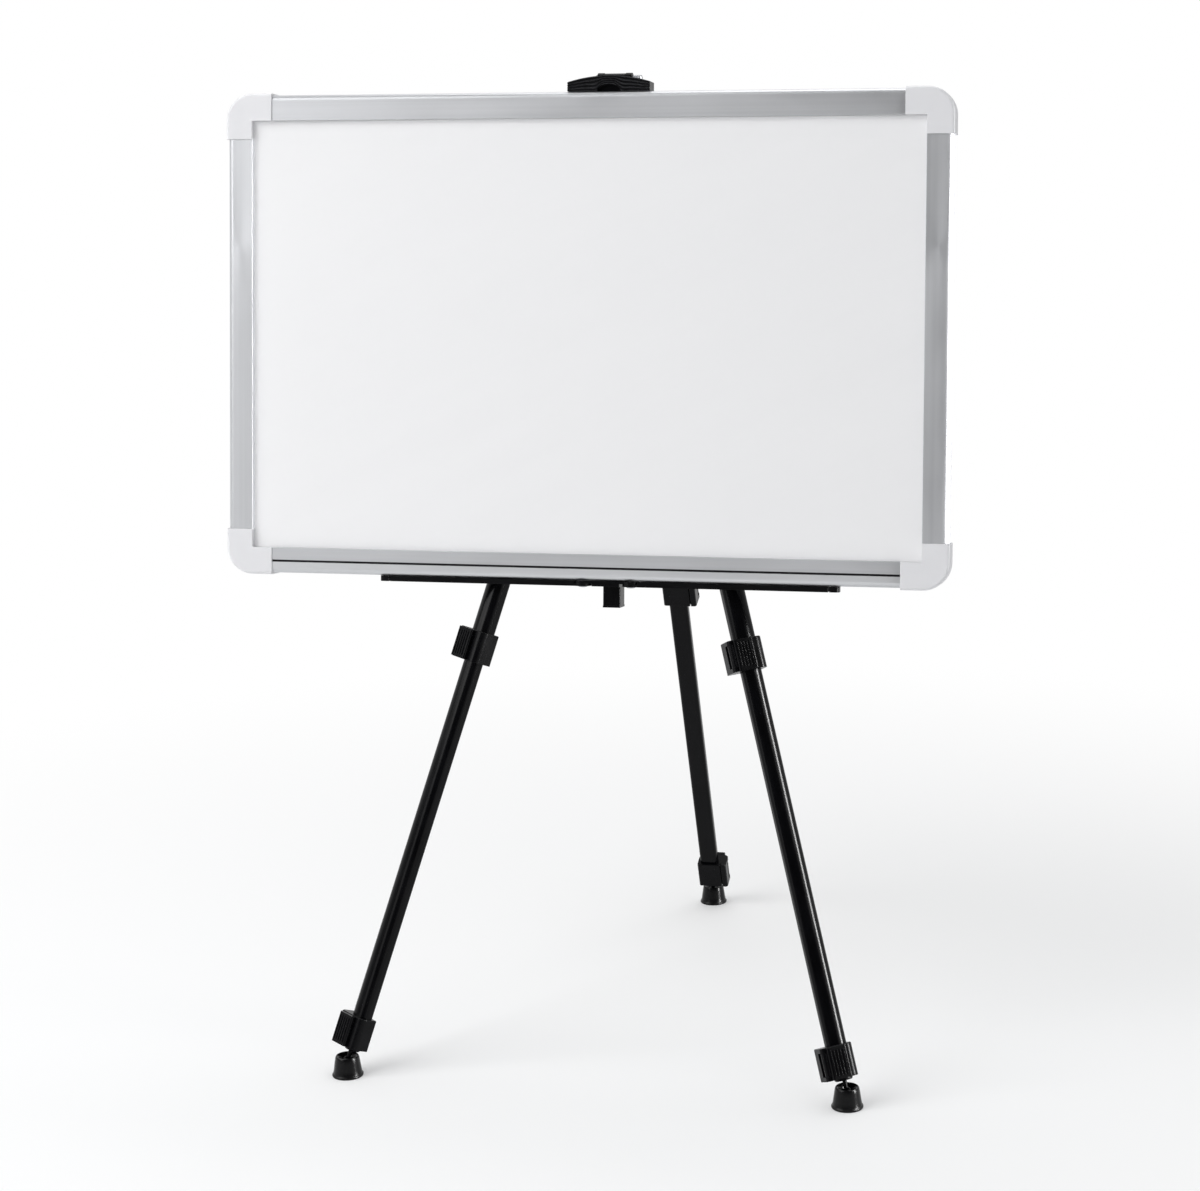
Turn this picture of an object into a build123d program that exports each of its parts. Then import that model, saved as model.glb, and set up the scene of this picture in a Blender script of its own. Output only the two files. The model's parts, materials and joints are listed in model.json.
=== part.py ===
from build123d import *
import os
from math import atan2, cos, degrees, pi, radians, sin, sqrt

# Tripod whiteboard easel in millimetres. X runs along the board, Y from the front feet
# to the rear foot, and Z is up from the floor. The board faces -Y.

# Stance
leg_length = 699.0          # hinge pin to ball
leg_spread = 261.4          # level distance from a hinge pin to its foot
front_leg_azimuth = 44.7    # degrees from -Y to each front leg
ball_height = 12.0          # ball centre above the floor
mast_x = 22.0               # the board hangs this far off the mast's middle
front_pin_x = 23.0          # front hinge pins, either side of the mast
pin_rows = 29.8             # front pins to rear pin, along Y

# Board
board_width = 600.0
board_height = 393.0
board_tilt = 7.0            # degrees back from upright
board_drop = 258.3          # hinge pins down to the board's lower edge
board_reach = 106.7         # front hinge pins forward to the board's lower front edge
rail_width = 21.0
rail_depth = 18.0
rail_wall = 1.4
rail_round = 4.5
rail_lip = 4.0              # frame front to writing surface
slot_depth = 8.0            # how far the panel enters the rails
sheet_thickness = 0.5
sheet_margin_step = 0.15    # the sheet is thinner where the rails hold it
sheet_margin_gap = 0.3
core_thickness = 7.5
tray_groove_width = 1.4
tray_groove_depth = 1.2
tray_groove_from_edge = 9.4
cap_leg_x = 38.0
cap_leg_z = 36.0
cap_round = 22.0
cap_proud = 1.4
cap_face_proud = 0.8
cap_edge_round = 2.4
plug_length = 9.0
screw_head_radius = 3.0
screw_head_height = 1.2

# Mast
mast_width = 14.4
mast_depth = 16.0
mast_wall = 0.8
mast_gap = 3.4              # back of the corner caps to the mast's front
mast_below = 22.0           # mast's lower end below the board's edge
mast_above = 48.6           # tilt bolt up to the mast's top
slider_overlap = 113.0      # sliding tube inside the mast
slider_over_board = 2.0
mast_round = 1.2
slide_clearance = 0.3
fit_gap = 0.1               # plugs and liners inside tubes
running_gap = 0.06          # radial, shafts and screws that turn
sleeve_wall = 2.7
sleeve_height = 24.0
sleeve_round = 2.0
end_plug_length = 14.0
end_plug_lip = 1.6
collar_grip = 16.0          # collar below the mast's top
collar_rise = 10.0          # collar above it
screw_boss_radius = 6.0
screw_boss_reach = 4.0

# Tripod head
head_radius = 15.0
head_above = 17.0           # hinge pins up to the head's top
head_behind_fork = 10.0     # head's middle in front of the pins' middle
fork_root = 24.0            # hinge pin to the inner end of its cheeks
slot_clearance = 0.8
head_bevel = 1.5
cheek_thickness = 4.0
cheek_gap = 10.0
cheek_radius = 7.6
leg_pin_radius = 2.5
pin_head_radius = 4.0
pin_head_height = 1.6
tilt_pivot_back = 17.0      # mast's rear face to the tilt bolt
tilt_tongue = 10.0
tilt_radius = 9.0
tilt_bolt_radius = 3.0
tilt_sleeve_half = 20.0
bolt_head_size = 5.5
bolt_head_height = 3.5
nut_height = 4.5
bolt_tail = 3.0

# Leg tubes, upper section first; the others nest inside it
upper_width = 19.2
upper_depth = 14.2
tube_wall = 0.8
section_round = 3.0
upper_lock_at = 344.4       # hinge pin to the middle of the upper lock
lock_spacing = 329.6        # upper lock to lower lock
front_section_turn = 34.0   # degrees from -Y to a front tube's rounded side
tube_overlap = 45.0
lower_inset = 12.0          # lowest section's top inside the middle section
eye_radius = 6.5
fitting_shoulder = 12.0     # hinge pin to the tube's end
shoulder_height = 4.0
fitting_plug = 30.0

# Locks
lock_height = 26.0
lock_wall = 2.6
lock_boss = 8.4             # collar beyond the tube on the lever's side
ear_height = 3.6            # the two ears that hold the lever's pivot
ear_round = 3.8             # pivot to the collar's outer faces
lever_barrel = 3.4
barrel_clearance = 0.8
trunnion_radius = 1.7
trunnion_end = 1.6          # collar's end face to the trunnion's end
pad_thickness = 3.4
pad_length = 16.4           # pivot to the pad's free end
pad_height = 25.0
pad_gap = 0.35
pad_round = 1.4
rib_start = 1.8
rib_end = 1.2
rib_margin = 2.4
grip_round = 6.0
lock_round = 2.2
lock_bevel = 0.6
lock_seat = 3.0             # tube's end below the lock's middle
split_width = 1.0
rib_count = 5
rib_width = 1.0
rib_height = 0.7

# Feet
foot_base_radius = 12.75
foot_top_radius = 9.3
foot_height = 17.0
foot_lip = 1.6
foot_edge = 0.6
ball_radius = 4.4
neck_radius = 1.8
stud_flange = 2.0
socket_mouth = 1.6          # foot's rim to the wide end of its socket

# Ledge
arm_reach = 191.0           # mast middle to the arm's end
arm_front = 1.5             # behind the board's front face
arm_bar = 11.0
arm_thickness = 4.4
arm_gap = 0.3
arm_pivot_out = 20.0
lap_radius = 7.0
lap_clearance = 1.3
lap_gap = 0.2
arm_tip = 9.0
tip_round = 3.5
tip_groove = 1.2
tip_groove_depth = 0.8
tip_peg_half = 2.5
tip_peg_short = 3.0         # peg's end to the tip's end
tip_peg_skin = 1.2
rivet_radius = 2.5
rivet_head_radius = 4.2
rivet_head_height = 1.2
ledge_screw_up = 14.0

# Top clamp
wing_width = 68.0
wing_mid_height = 12.5
wing_end_height = 7.5
wing_front = 2.0
wing_depth = 15.0
notch_half = 10.0
notch_height = 6.0
notch_depth = 5.0           # the notch is a recess in the wing's front
wing_ridges = 4
ridge_depth = 0.9
ridge_gap_share = 0.4       # share of each ridge's pitch that is groove
ear_out = 11.6
ear_width = 5.0
ear_radius = 4.6
clamp_pin_radius = 2.0
clamp_pin_height = 12.5     # above the board's top edge
clamp_pin_back = 7.0        # behind the board's back
clamp_pin_over = 2.0        # pin beyond the ears
clamp_pin_tail = 8.0        # pin's longer end
clamp_pin_head = 3.4
clamp_pin_tail_radius = 2.8
base_below = 14.0           # clamp base below the board's top edge
base_above = 5.0
base_ears_from = 8.0        # the base widens this far below the board's top
base_wall = 1.5
base_gap = 0.6
lug_skin = 0.4

# Knobs
knob_radius = 9.0
knob_height = 9.0
knob_lobes = 8
knob_stem = 3.0
knob_gap = 0.5              # grip to the boss it turns on
lobe_radius = 2.4

# Places worked out from the sizes above
leg_drop = sqrt(leg_length ** 2 - leg_spread ** 2)
pin_z = ball_height + leg_drop
front_reach = leg_spread * cos(radians(front_leg_azimuth))
stance_half = (front_reach + pin_rows + leg_spread) / 2
front_pin_y = -stance_half + front_reach
rear_pin_y = stance_half - leg_spread
head_y = (front_pin_y + rear_pin_y) / 2 - head_behind_fork
board_y = front_pin_y - board_reach
board_z = pin_z - board_drop
cap_back = rail_depth + cap_face_proud
mast_front = cap_back + mast_gap
mast_mid = mast_front + mast_depth / 2
mast_rear = mast_front + mast_depth
tilt_v = mast_rear + tilt_pivot_back
pivot_w = board_drop * cos(radians(board_tilt)) + board_reach * sin(radians(board_tilt))
mast_top = pivot_w + mast_above
slider_bottom = mast_top - slider_overlap
slider_top = board_height + slider_over_board
board_frame = Location((0, board_y, board_z), (-board_tilt, 0, 0))
panel_back = rail_lip + sheet_thickness + core_thickness
middle_width = upper_width - 2 * (tube_wall + slide_clearance)
middle_depth = upper_depth - 2 * (tube_wall + slide_clearance)
lower_width = middle_width - 2 * (tube_wall + slide_clearance)
lower_depth = middle_depth - 2 * (tube_wall + slide_clearance)
lower_lock_at = upper_lock_at + lock_spacing
slider_width = mast_width - 2 * (mast_wall + slide_clearance)
slider_depth = mast_depth - 2 * (mast_wall + slide_clearance)


def box(x0, x1, y0, y1, z0, z1):
    """A block between two corners."""
    return Pos((x0 + x1) / 2, (y0 + y1) / 2, (z0 + z1) / 2) * Box(x1 - x0, y1 - y0, z1 - z0)


def rod(radius, start, end):
    """A round bar from one point to another."""
    axis = Vector(*end) - Vector(*start)
    return extrude(Plane(start, z_dir=axis) * Circle(radius), axis.length)


def tube_section(width, depth, corner=section_round):
    """Leg tube outline: flat inner side at -X, drawn out round towards +X."""
    flat = Pos(-depth / 4, 0) * Rectangle(depth / 2, width)
    flat = fillet(flat.vertices().group_by(Axis.X)[0], corner)
    nose = Ellipse(depth / 2, width / 2) & (Pos(depth / 4, 0) * Rectangle(depth / 2, width))
    return flat + nose


def leg_tube(width, depth, top, bottom):
    """A hollow leg tube that hangs from top to bottom along -Z."""
    wall = tube_section(width, depth)
    wall -= tube_section(width - 2 * tube_wall, depth - 2 * tube_wall, section_round - tube_wall)
    return Pos(0, 0, -bottom) * extrude(wall, bottom - top)


def knob(v0, reach, at):
    """A lobed thumb screw on an axis along +Y that starts at v0 and stands out by reach."""
    x, z = at
    stem = rod(knob_stem, (x, v0, z), (x, v0 + reach, z))
    face = Circle(knob_radius)
    for i in range(knob_lobes):
        turn = 2 * pi * i / knob_lobes
        out = knob_radius + lobe_radius / 2
        face -= Pos(out * cos(turn), out * sin(turn)) * Circle(lobe_radius)
    grip = extrude(Plane((x, v0 + reach, z), z_dir=(0, 1, 0)) * face, knob_height)
    return stem + chamfer(grip.faces().sort_by(Axis.Y)[-1].edges(), 0.8)


# Board rails
def rail(length, groove):
    """A rail along X, centred, with its outer edge at Z=0 and its front at Y=0."""
    outline = Pos(rail_depth / 2, rail_width / 2) * Rectangle(rail_depth, rail_width)
    corners = outline.vertices().group_by(Axis.Y)[0]
    outline = fillet(corners, rail_round)
    slot = (rail_lip + panel_back) / 2
    outline -= Pos(slot, rail_width - slot_depth / 2) * Rectangle(panel_back - rail_lip, slot_depth)
    chamber = rail_width - slot_depth - 2 * rail_wall
    outline -= Pos(rail_depth / 2, rail_wall + chamber / 2) * RectangleRounded(
        rail_depth - 2 * rail_wall, chamber, rail_round - rail_wall)
    if groove:
        outline -= Pos(tray_groove_depth / 2, tray_groove_from_edge + tray_groove_width / 2) * Rectangle(
            tray_groove_depth, tray_groove_width)
    side = Plane((-length / 2, 0, 0), x_dir=(0, 1, 0), z_dir=(1, 0, 0))
    return extrude(side * outline, length)


def corner_cap():
    """The cap for the lower left corner, with its outer corner at the origin of X and Z."""
    shape = Pos((cap_leg_x - cap_proud) / 2, (cap_leg_z - cap_proud) / 2) * Rectangle(
        cap_leg_x + cap_proud, cap_leg_z + cap_proud)
    shape = fillet(shape.vertices().sort_by_distance((-cap_proud, -cap_proud))[0], cap_round)
    inner = Pos(rail_width + cap_leg_x / 2, rail_width + cap_leg_z / 2) * Rectangle(cap_leg_x, cap_leg_z)
    upright = Plane((0, cap_back, 0), x_dir=(1, 0, 0), z_dir=(0, -1, 0))
    body = extrude(upright * (shape - inner), cap_back + cap_face_proud)
    low = -cap_proud
    rim = [e for e in body.edges().filter_by(GeomType.LINE, reverse=True)]
    rim += [e for e in body.edges().filter_by(Axis.X) if abs(e.center().Z - low) < 0.01]
    rim += [e for e in body.edges().filter_by(Axis.Z) if abs(e.center().X - low) < 0.01]
    body = fillet([e for e in rim if abs(e.center().Y - mid_depth) > 1], cap_edge_round)
    panel = box(rail_width - slot_depth, cap_leg_x + 1, rail_lip, panel_back,
                rail_width - slot_depth, cap_leg_z + 1)
    body -= panel
    plug_w = rail_width - slot_depth - 2 * rail_wall - 2 * fit_gap
    plug_low = rail_wall + fit_gap
    body += box(cap_leg_x, cap_leg_x + plug_length, rail_wall + 2, rail_depth - rail_wall - 2,
                plug_low + 1, plug_low + plug_w - 1)
    body += box(plug_low + 1, plug_low + plug_w - 1, rail_wall + 2, rail_depth - rail_wall - 2,
                cap_leg_z, cap_leg_z + plug_length)
    return body


mid_depth = (cap_back - cap_face_proud) / 2
half_w = board_width / 2
top_rail_length = board_width - 2 * cap_leg_x
side_rail_length = board_height - 2 * cap_leg_z
flip = Location((0, 0, board_height), (0, 180, 0))
cap = corner_cap()
cap_ll = Pos(-half_w, 0, 0) * cap
cap_lr = mirror(cap_ll, Plane.YZ)
middle_plane = Plane((0, 0, board_height / 2), z_dir=(0, 0, 1))

board = {}
board["rail_bottom"] = rail(top_rail_length, True)
board["rail_top"] = flip * rail(top_rail_length, False)
board["rail_left"] = Location((-half_w, 0, board_height / 2), (0, 90, 0)) * rail(side_rail_length, False)
board["rail_right"] = Location((half_w, 0, board_height / 2), (0, -90, 0)) * rail(side_rail_length, False)
board["corner_cap_lower_left"] = cap_ll
board["corner_cap_lower_right"] = cap_lr
board["corner_cap_upper_left"] = mirror(cap_ll, middle_plane)
board["corner_cap_upper_right"] = mirror(cap_lr, middle_plane)
inset = rail_width - slot_depth
margin = rail_width + sheet_margin_gap
sheet_margin = box(-half_w + inset, half_w - inset, rail_lip + sheet_margin_step, rail_lip + sheet_thickness,
                   inset, board_height - inset)
board["writing_sheet"] = sheet_margin + box(-half_w + margin, half_w - margin, rail_lip,
                                            rail_lip + sheet_thickness, margin, board_height - margin)
board["core_panel"] = box(-half_w + inset, half_w - inset, rail_lip + sheet_thickness, panel_back,
                          inset, board_height - inset)
screws = []
for sx in (-1, 1):
    for z in (rail_width / 2, board_height - rail_width / 2):
        x = sx * (half_w - rail_width / 2)
        head = rod(screw_head_radius, (x, cap_back, z), (x, cap_back + screw_head_height, z))
        head = chamfer(head.faces().sort_by(Axis.Y)[-1].edges(), 0.5)
        screws.append(head)
board["cap_screws"] = Part() + screws


# Mast: square tube, sliding tube, collar and end plug
def mast_box(grow, w0, w1):
    """A block round the mast's middle, larger than the mast tube by grow on each side."""
    half = mast_width / 2 + grow
    return box(mast_x - half, mast_x + half, mast_front - grow, mast_rear + grow, w0, w1)


def slider_box(grow, w0, w1):
    """A block round the sliding tube, larger than it by grow on each side."""
    return mast_box(grow - mast_wall - slide_clearance, w0, w1)


mast = {}
tube = fillet(mast_box(0, -mast_below, mast_top).edges().filter_by(Axis.Z), mast_round)
mast["mast_tube"] = tube - mast_box(-mast_wall, -mast_below, mast_top)
plug = mast_box(-mast_wall - fit_gap, -mast_below, -mast_below + end_plug_length)
mast["mast_end_plug"] = plug + mast_box(0, -mast_below - end_plug_lip, -mast_below)

collar_low = mast_top - collar_grip
collar_top = mast_top + collar_rise
collar = fillet(mast_box(sleeve_wall, collar_low, collar_top).edges().filter_by(Axis.Z), 2.5)
collar -= mast_box(0, collar_low, mast_top)
collar -= slider_box(slide_clearance, mast_top, collar_top)
boss_w = mast_top + knob_stem + 1
boss_end = mast_rear + sleeve_wall + screw_boss_reach
screw_hole = knob_stem + running_gap
collar += rod(screw_boss_radius, (mast_x, mast_rear + 1, boss_w), (mast_x, boss_end, boss_w))
collar -= rod(screw_hole, (mast_x, mast_mid, boss_w), (mast_x, boss_end + 1, boss_w))
collar -= slider_box(slide_clearance, mast_top, collar_top)
collar -= mast_box(0, collar_low, mast_top)
mast["mast_collar"] = collar
mast["mast_tube"] -= rod(screw_hole + slide_clearance, (mast_x, mast_mid, boss_w), (mast_x, boss_end, boss_w))
knob_v0 = mast_rear - mast_wall
mast_knob = knob(knob_v0, boss_end + knob_gap - knob_v0, (mast_x, boss_w))

slider = fillet(slider_box(0, slider_bottom, slider_top).edges().filter_by(Axis.Z), 1.0)
slider -= slider_box(-mast_wall, slider_bottom, slider_top)

# Tilt bracket: a sleeve round the mast with two cheeks that clasp the head's tongue
sleeve_low = pivot_w - tilt_sleeve_half
sleeve_high = pivot_w + tilt_sleeve_half
bracket = fillet(mast_box(sleeve_wall, sleeve_low, sleeve_high).edges().filter_by(Axis.Z), sleeve_round)
for side in (-1, 1):
    x0 = mast_x + side * (tilt_tongue / 2 + slide_clearance)
    x1 = x0 + side * cheek_thickness
    low, high = sorted((x0, x1))
    bracket += box(low, high, mast_rear, tilt_v, pivot_w - tilt_radius, pivot_w + tilt_radius)
    bracket += rod(tilt_radius, (low, tilt_v, pivot_w), (high, tilt_v, pivot_w))
bracket -= mast_box(0, sleeve_low, sleeve_high)
half_fork = tilt_tongue / 2 + slide_clearance + cheek_thickness
bolt_left = (mast_x - half_fork, tilt_v, pivot_w)
bolt_right = (mast_x + half_fork, tilt_v, pivot_w)
bracket -= rod(tilt_bolt_radius, bolt_left, bolt_right)
mast["tilt_bracket"] = bracket
bolt = rod(tilt_bolt_radius, bolt_left, (mast_x + half_fork + nut_height + bolt_tail, tilt_v, pivot_w))
bolt += extrude(Plane(bolt_left, z_dir=(-1, 0, 0)) * RegularPolygon(bolt_head_size, 6), bolt_head_height)
bolt += extrude(Plane(bolt_right, z_dir=(1, 0, 0)) * RegularPolygon(bolt_head_size, 6), nut_height)
mast["tilt_bolt"] = bolt

# Top clamp: base with ears on the sliding tube, and the wing that presses on the board
pin_v = cap_back + clamp_pin_back
pin_w = board_height + clamp_pin_height
base_low = board_height - base_below
base_high = board_height + base_above
base_front = cap_back + base_gap
base_rear = mast_rear + base_wall
ear_inner = ear_out - ear_width / 2
ear_outer = ear_out + ear_width / 2
clamp_base = box(mast_x - ear_inner, mast_x + ear_inner, base_front, base_rear, base_low, base_high)
for side in (-1, 1):
    low, high = sorted((mast_x + side * ear_inner, mast_x + side * ear_outer))
    clamp_base += box(low, high, base_front, base_rear, board_height - base_ears_from, base_high)
    clamp_base += box(low, high, pin_v - ear_radius, pin_v + ear_radius, board_height, pin_w)
    clamp_base += rod(ear_radius, (low, pin_v, pin_w), (high, pin_v, pin_w))
clamp_base -= slider_box(0, base_low, slider_top)
pin_left = (mast_x - ear_outer, pin_v, pin_w)
pin_right = (mast_x + ear_outer, pin_v, pin_w)
clamp_base -= rod(clamp_pin_radius, pin_left, pin_right)
clamp_base -= rod(ear_radius + base_gap, (mast_x - ear_inner, pin_v, pin_w),
                  (mast_x + ear_inner, pin_v, pin_w))
clamp_pin = rod(clamp_pin_radius, pin_left, pin_right)
clamp_pin += rod(clamp_pin_head, (mast_x - ear_outer - clamp_pin_over, pin_v, pin_w), pin_left)
clamp_pin += rod(clamp_pin_tail_radius, pin_right, (mast_x + ear_outer + clamp_pin_tail, pin_v, pin_w))


def wing_line(share):
    """A line across the wing, from its notched lower edge at share 0 to its arched top at 1."""
    half = wing_width / 2
    points = []
    for i in range(13):
        x = -half + wing_width * i / 12
        top = wing_end_height + (wing_mid_height - wing_end_height) * cos(pi / 2 * x / half)
        low = notch_height * max(0.0, 1 - (x / notch_half) ** 2) ** 0.5 if abs(x) < notch_half else 0.0
        points.append((x, low + (top - low) * share))
    return points


wing_w = board_height + arm_gap
wing_plane = Plane((mast_x, wing_front + wing_depth, wing_w), x_dir=(1, 0, 0), z_dir=(0, -1, 0))
half_wing = wing_width / 2
wing_edge = ThreePointArc((-half_wing, wing_end_height), (0, wing_mid_height), (half_wing, wing_end_height))
wing_foot = Polyline(wing_edge @ 1, (half_wing, 0), (-half_wing, 0), wing_edge @ 0)
wing_face = make_face([wing_edge, wing_foot])
wing = extrude(wing_plane * wing_face, wing_depth - ridge_depth)
notch_plane = Plane((mast_x, wing_front + notch_depth, wing_w), x_dir=(1, 0, 0), z_dir=(0, -1, 0))
wing -= extrude(notch_plane * Ellipse(notch_half, notch_height), notch_depth)
ridge_plane = Plane((mast_x, wing_front + ridge_depth, wing_w), x_dir=(1, 0, 0), z_dir=(0, -1, 0))
for i in range(wing_ridges):
    share = (i + ridge_gap_share / 2) / wing_ridges
    band_low = Spline(*wing_line(share))
    band_top = Spline(*wing_line(share + (1 - ridge_gap_share) / wing_ridges))
    band = make_face([band_top, band_low, Line(band_top @ 0, band_low @ 0), Line(band_top @ 1, band_low @ 1)])
    wing += extrude(ridge_plane * band, ridge_depth)
lug_half = ear_inner - slide_clearance
lug_radius = ear_radius - lug_skin
lug_low = pin_w - lug_radius
wing_back = wing_front + wing_depth
lug_root = wing_back - wing_depth / 3
wing += box(mast_x - lug_half, mast_x + lug_half, lug_root, pin_v, lug_low, pin_w + base_wall)
wing += box(mast_x - lug_half, mast_x + lug_half, lug_root, wing_back,
            wing_w + notch_height, pin_w + base_wall)
wing += rod(lug_radius, (mast_x - lug_half, pin_v, pin_w), (mast_x + lug_half, pin_v, pin_w))
wing -= rod(clamp_pin_radius + running_gap, pin_left, pin_right)

# Ledge: carriage on the mast and two arms that swing forward on half-lap joints
plate_top = -arm_gap
plate_low = plate_top - arm_thickness
lap_mid = (plate_top + plate_low) / 2
arm_v = arm_front + arm_bar / 2
carriage = mast_box(slide_clearance + sleeve_wall, plate_low, sleeve_height)
carriage = fillet(carriage.edges().filter_by(Axis.Z), sleeve_round)
web_half = arm_pivot_out - lap_radius - lap_clearance - slide_clearance
sleeve_front = mast_front - slide_clearance - sleeve_wall
carriage += box(mast_x - web_half, mast_x + web_half, arm_front, sleeve_front + sleeve_wall,
                plate_low, plate_top)
for side in (-1, 1):
    px = mast_x + side * arm_pivot_out
    x0, x1 = sorted((mast_x + side * web_half, px))
    carriage += box(x0, x1, arm_v - arm_bar / 2, arm_v + arm_bar / 2, lap_mid + lap_gap / 2, plate_top)
    carriage += rod(lap_radius, (px, arm_v, lap_mid + lap_gap / 2), (px, arm_v, plate_top))
carriage -= mast_box(slide_clearance, plate_low, sleeve_height)
screw_from = mast_rear + slide_clearance
rear_v = screw_from + sleeve_wall
boss_back = rear_v + screw_boss_reach
carriage += rod(screw_boss_radius, (mast_x, screw_from + 1, ledge_screw_up),
                (mast_x, boss_back, ledge_screw_up))
carriage -= rod(screw_hole, (mast_x, screw_from, ledge_screw_up), (mast_x, boss_back + 1, ledge_screw_up))
knob_from = screw_from + fit_gap
ledge_knob = knob(knob_from, boss_back + knob_gap - knob_from, (mast_x, ledge_screw_up))
rivets = []
for side in (-1, 1):
    px = mast_x + side * arm_pivot_out
    carriage -= rod(rivet_radius, (px, arm_v, plate_low - 1), (px, arm_v, plate_top + 1))
    seat = plate_low - fit_gap
    rivet = rod(rivet_radius, (px, arm_v, seat), (px, arm_v, plate_top))
    rivets.append(rivet + rod(rivet_head_radius, (px, arm_v, seat - rivet_head_height), (px, arm_v, seat)))


def tip_peg(side):
    """The peg on an arm's end that the tip is pressed on."""
    end = mast_x + side * (arm_reach - arm_tip)
    low, high = sorted((end, end + side * (arm_tip - tip_peg_short)))
    return box(low, high, arm_v - tip_peg_half, arm_v + tip_peg_half,
               plate_low + tip_peg_skin, plate_top - tip_peg_skin)


def ledge_arm(side):
    """One arm, from its half-lap root disc to the seat of its end tip."""
    px = mast_x + side * arm_pivot_out
    end = mast_x + side * (arm_reach - arm_tip)
    x0, x1 = sorted((px, end))
    bar = box(x0, x1, arm_front, arm_front + arm_bar, plate_low, plate_top)
    bar -= rod(lap_radius + lap_clearance, (px, arm_v, lap_mid - lap_gap / 2), (px, arm_v, plate_top + 1))
    bar += rod(lap_radius, (px, arm_v, plate_low), (px, arm_v, lap_mid - lap_gap / 2))
    bar -= rod(rivet_radius + running_gap, (px, arm_v, plate_low - 1), (px, arm_v, plate_top + 1))
    return bar + tip_peg(side)


def arm_end_tip(side):
    """The moulded tip pressed on an arm's end, with a shallow groove round it."""
    end = mast_x + side * (arm_reach - arm_tip)
    outer = end + side * arm_tip
    tip = box(*sorted((end, outer)), arm_front, arm_front + arm_bar, plate_low, plate_top)
    far = tip.faces().sort_by(Axis.X)[-1 if side > 0 else 0]
    tip = fillet(far.edges().filter_by(Axis.Z), tip_round)
    groove_x = end + side * tip_groove
    ring = box(*sorted((end, groove_x)), arm_front - 1, arm_front + arm_bar + 1, plate_low - 1, plate_top + 1)
    ring -= box(*sorted((end - side, groove_x + side)),
                arm_front + tip_groove_depth, arm_front + arm_bar - tip_groove_depth,
                plate_low + tip_groove_depth, plate_top - tip_groove_depth)
    return tip - ring - tip_peg(side)


# Legs, each built hanging from its hinge pin at the origin along -Z, rounded side towards +X
def top_fitting(eye_turn):
    """The moulded end of a leg: an eye for the hinge pin, a shoulder, and a plug in the tube."""
    eye_half = cheek_gap / 2 - slide_clearance
    across = Rot(0, 0, eye_turn)
    body = extrude(Pos(0, 0, -fitting_shoulder) * tube_section(upper_width, upper_depth), shoulder_height)
    shank = across * box(-eye_radius, eye_radius, -eye_half, eye_half, 1 - fitting_shoulder, 0)
    body += shank
    body += across * rod(eye_radius, (0, -eye_half, 0), (0, eye_half, 0))
    inner = tube_section(upper_width - 2 * (tube_wall + fit_gap), upper_depth - 2 * (tube_wall + fit_gap),
                         section_round - tube_wall)
    body += Pos(0, 0, -fitting_shoulder - fitting_plug) * extrude(inner, fitting_plug)
    return body - across * rod(leg_pin_radius + running_gap, (0, -20, 0), (0, 20, 0))


def lock_sizes(width, depth):
    """Where a lock's lever pivot, outer face and lever side lie for a tube of this size."""
    face_x = depth / 2 + lock_wall
    side_y = -(width / 2 + lock_boss)
    pivot = (face_x - ear_round, side_y + ear_round)
    return face_x, side_y, pivot


def lock_collar(at, width, depth):
    """The collar that grips a tube's lower end, guides the next tube and carries the lever."""
    face_x, side_y, (px, py) = lock_sizes(width, depth)
    back_x = -(depth / 2 + lock_wall)
    z0, z1 = -at - lock_height / 2, -at + lock_height / 2
    outline = Pos((face_x + back_x) / 2, (width / 2 + lock_wall + side_y) / 2) * Rectangle(
        face_x - back_x, width / 2 + lock_wall - side_y)
    outline = fillet(outline.vertices().sort_by_distance((face_x, width / 2 + lock_wall))[0], grip_round)
    outline = fillet(outline.vertices().sort_by_distance((face_x, side_y))[0], ear_round)
    outline = fillet([v for v in outline.vertices() if abs(v.X - back_x) < fit_gap], lock_round)
    body = Pos(0, 0, z0) * extrude(outline, lock_height)
    body = chamfer(body.edges().group_by(Axis.Z)[-1], lock_bevel)
    body -= Pos(0, 0, -at - lock_seat) * extrude(tube_section(width, depth), lock_height)
    bore = tube_section(width - 2 * tube_wall, depth - 2 * tube_wall, section_round - tube_wall)
    body -= Pos(0, 0, z0 - 1) * extrude(bore, lock_height)
    mouth_x = px - pad_gap - lever_barrel - barrel_clearance
    mouth_y = py + lever_barrel + slide_clearance
    body -= box(mouth_x, face_x + 1, side_y - 1, mouth_y, z0 + ear_height, z1 - ear_height)
    hole_end = trunnion_end - slide_clearance
    body -= rod(trunnion_radius + running_gap, (px, py, z0 + hole_end), (px, py, z1 - hole_end))
    split_y = -width / 2 - lock_wall
    return body - box(back_x - 1, -depth / 2 + 1, split_y - split_width, split_y, z0 - 1, z1 + 1)


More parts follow.
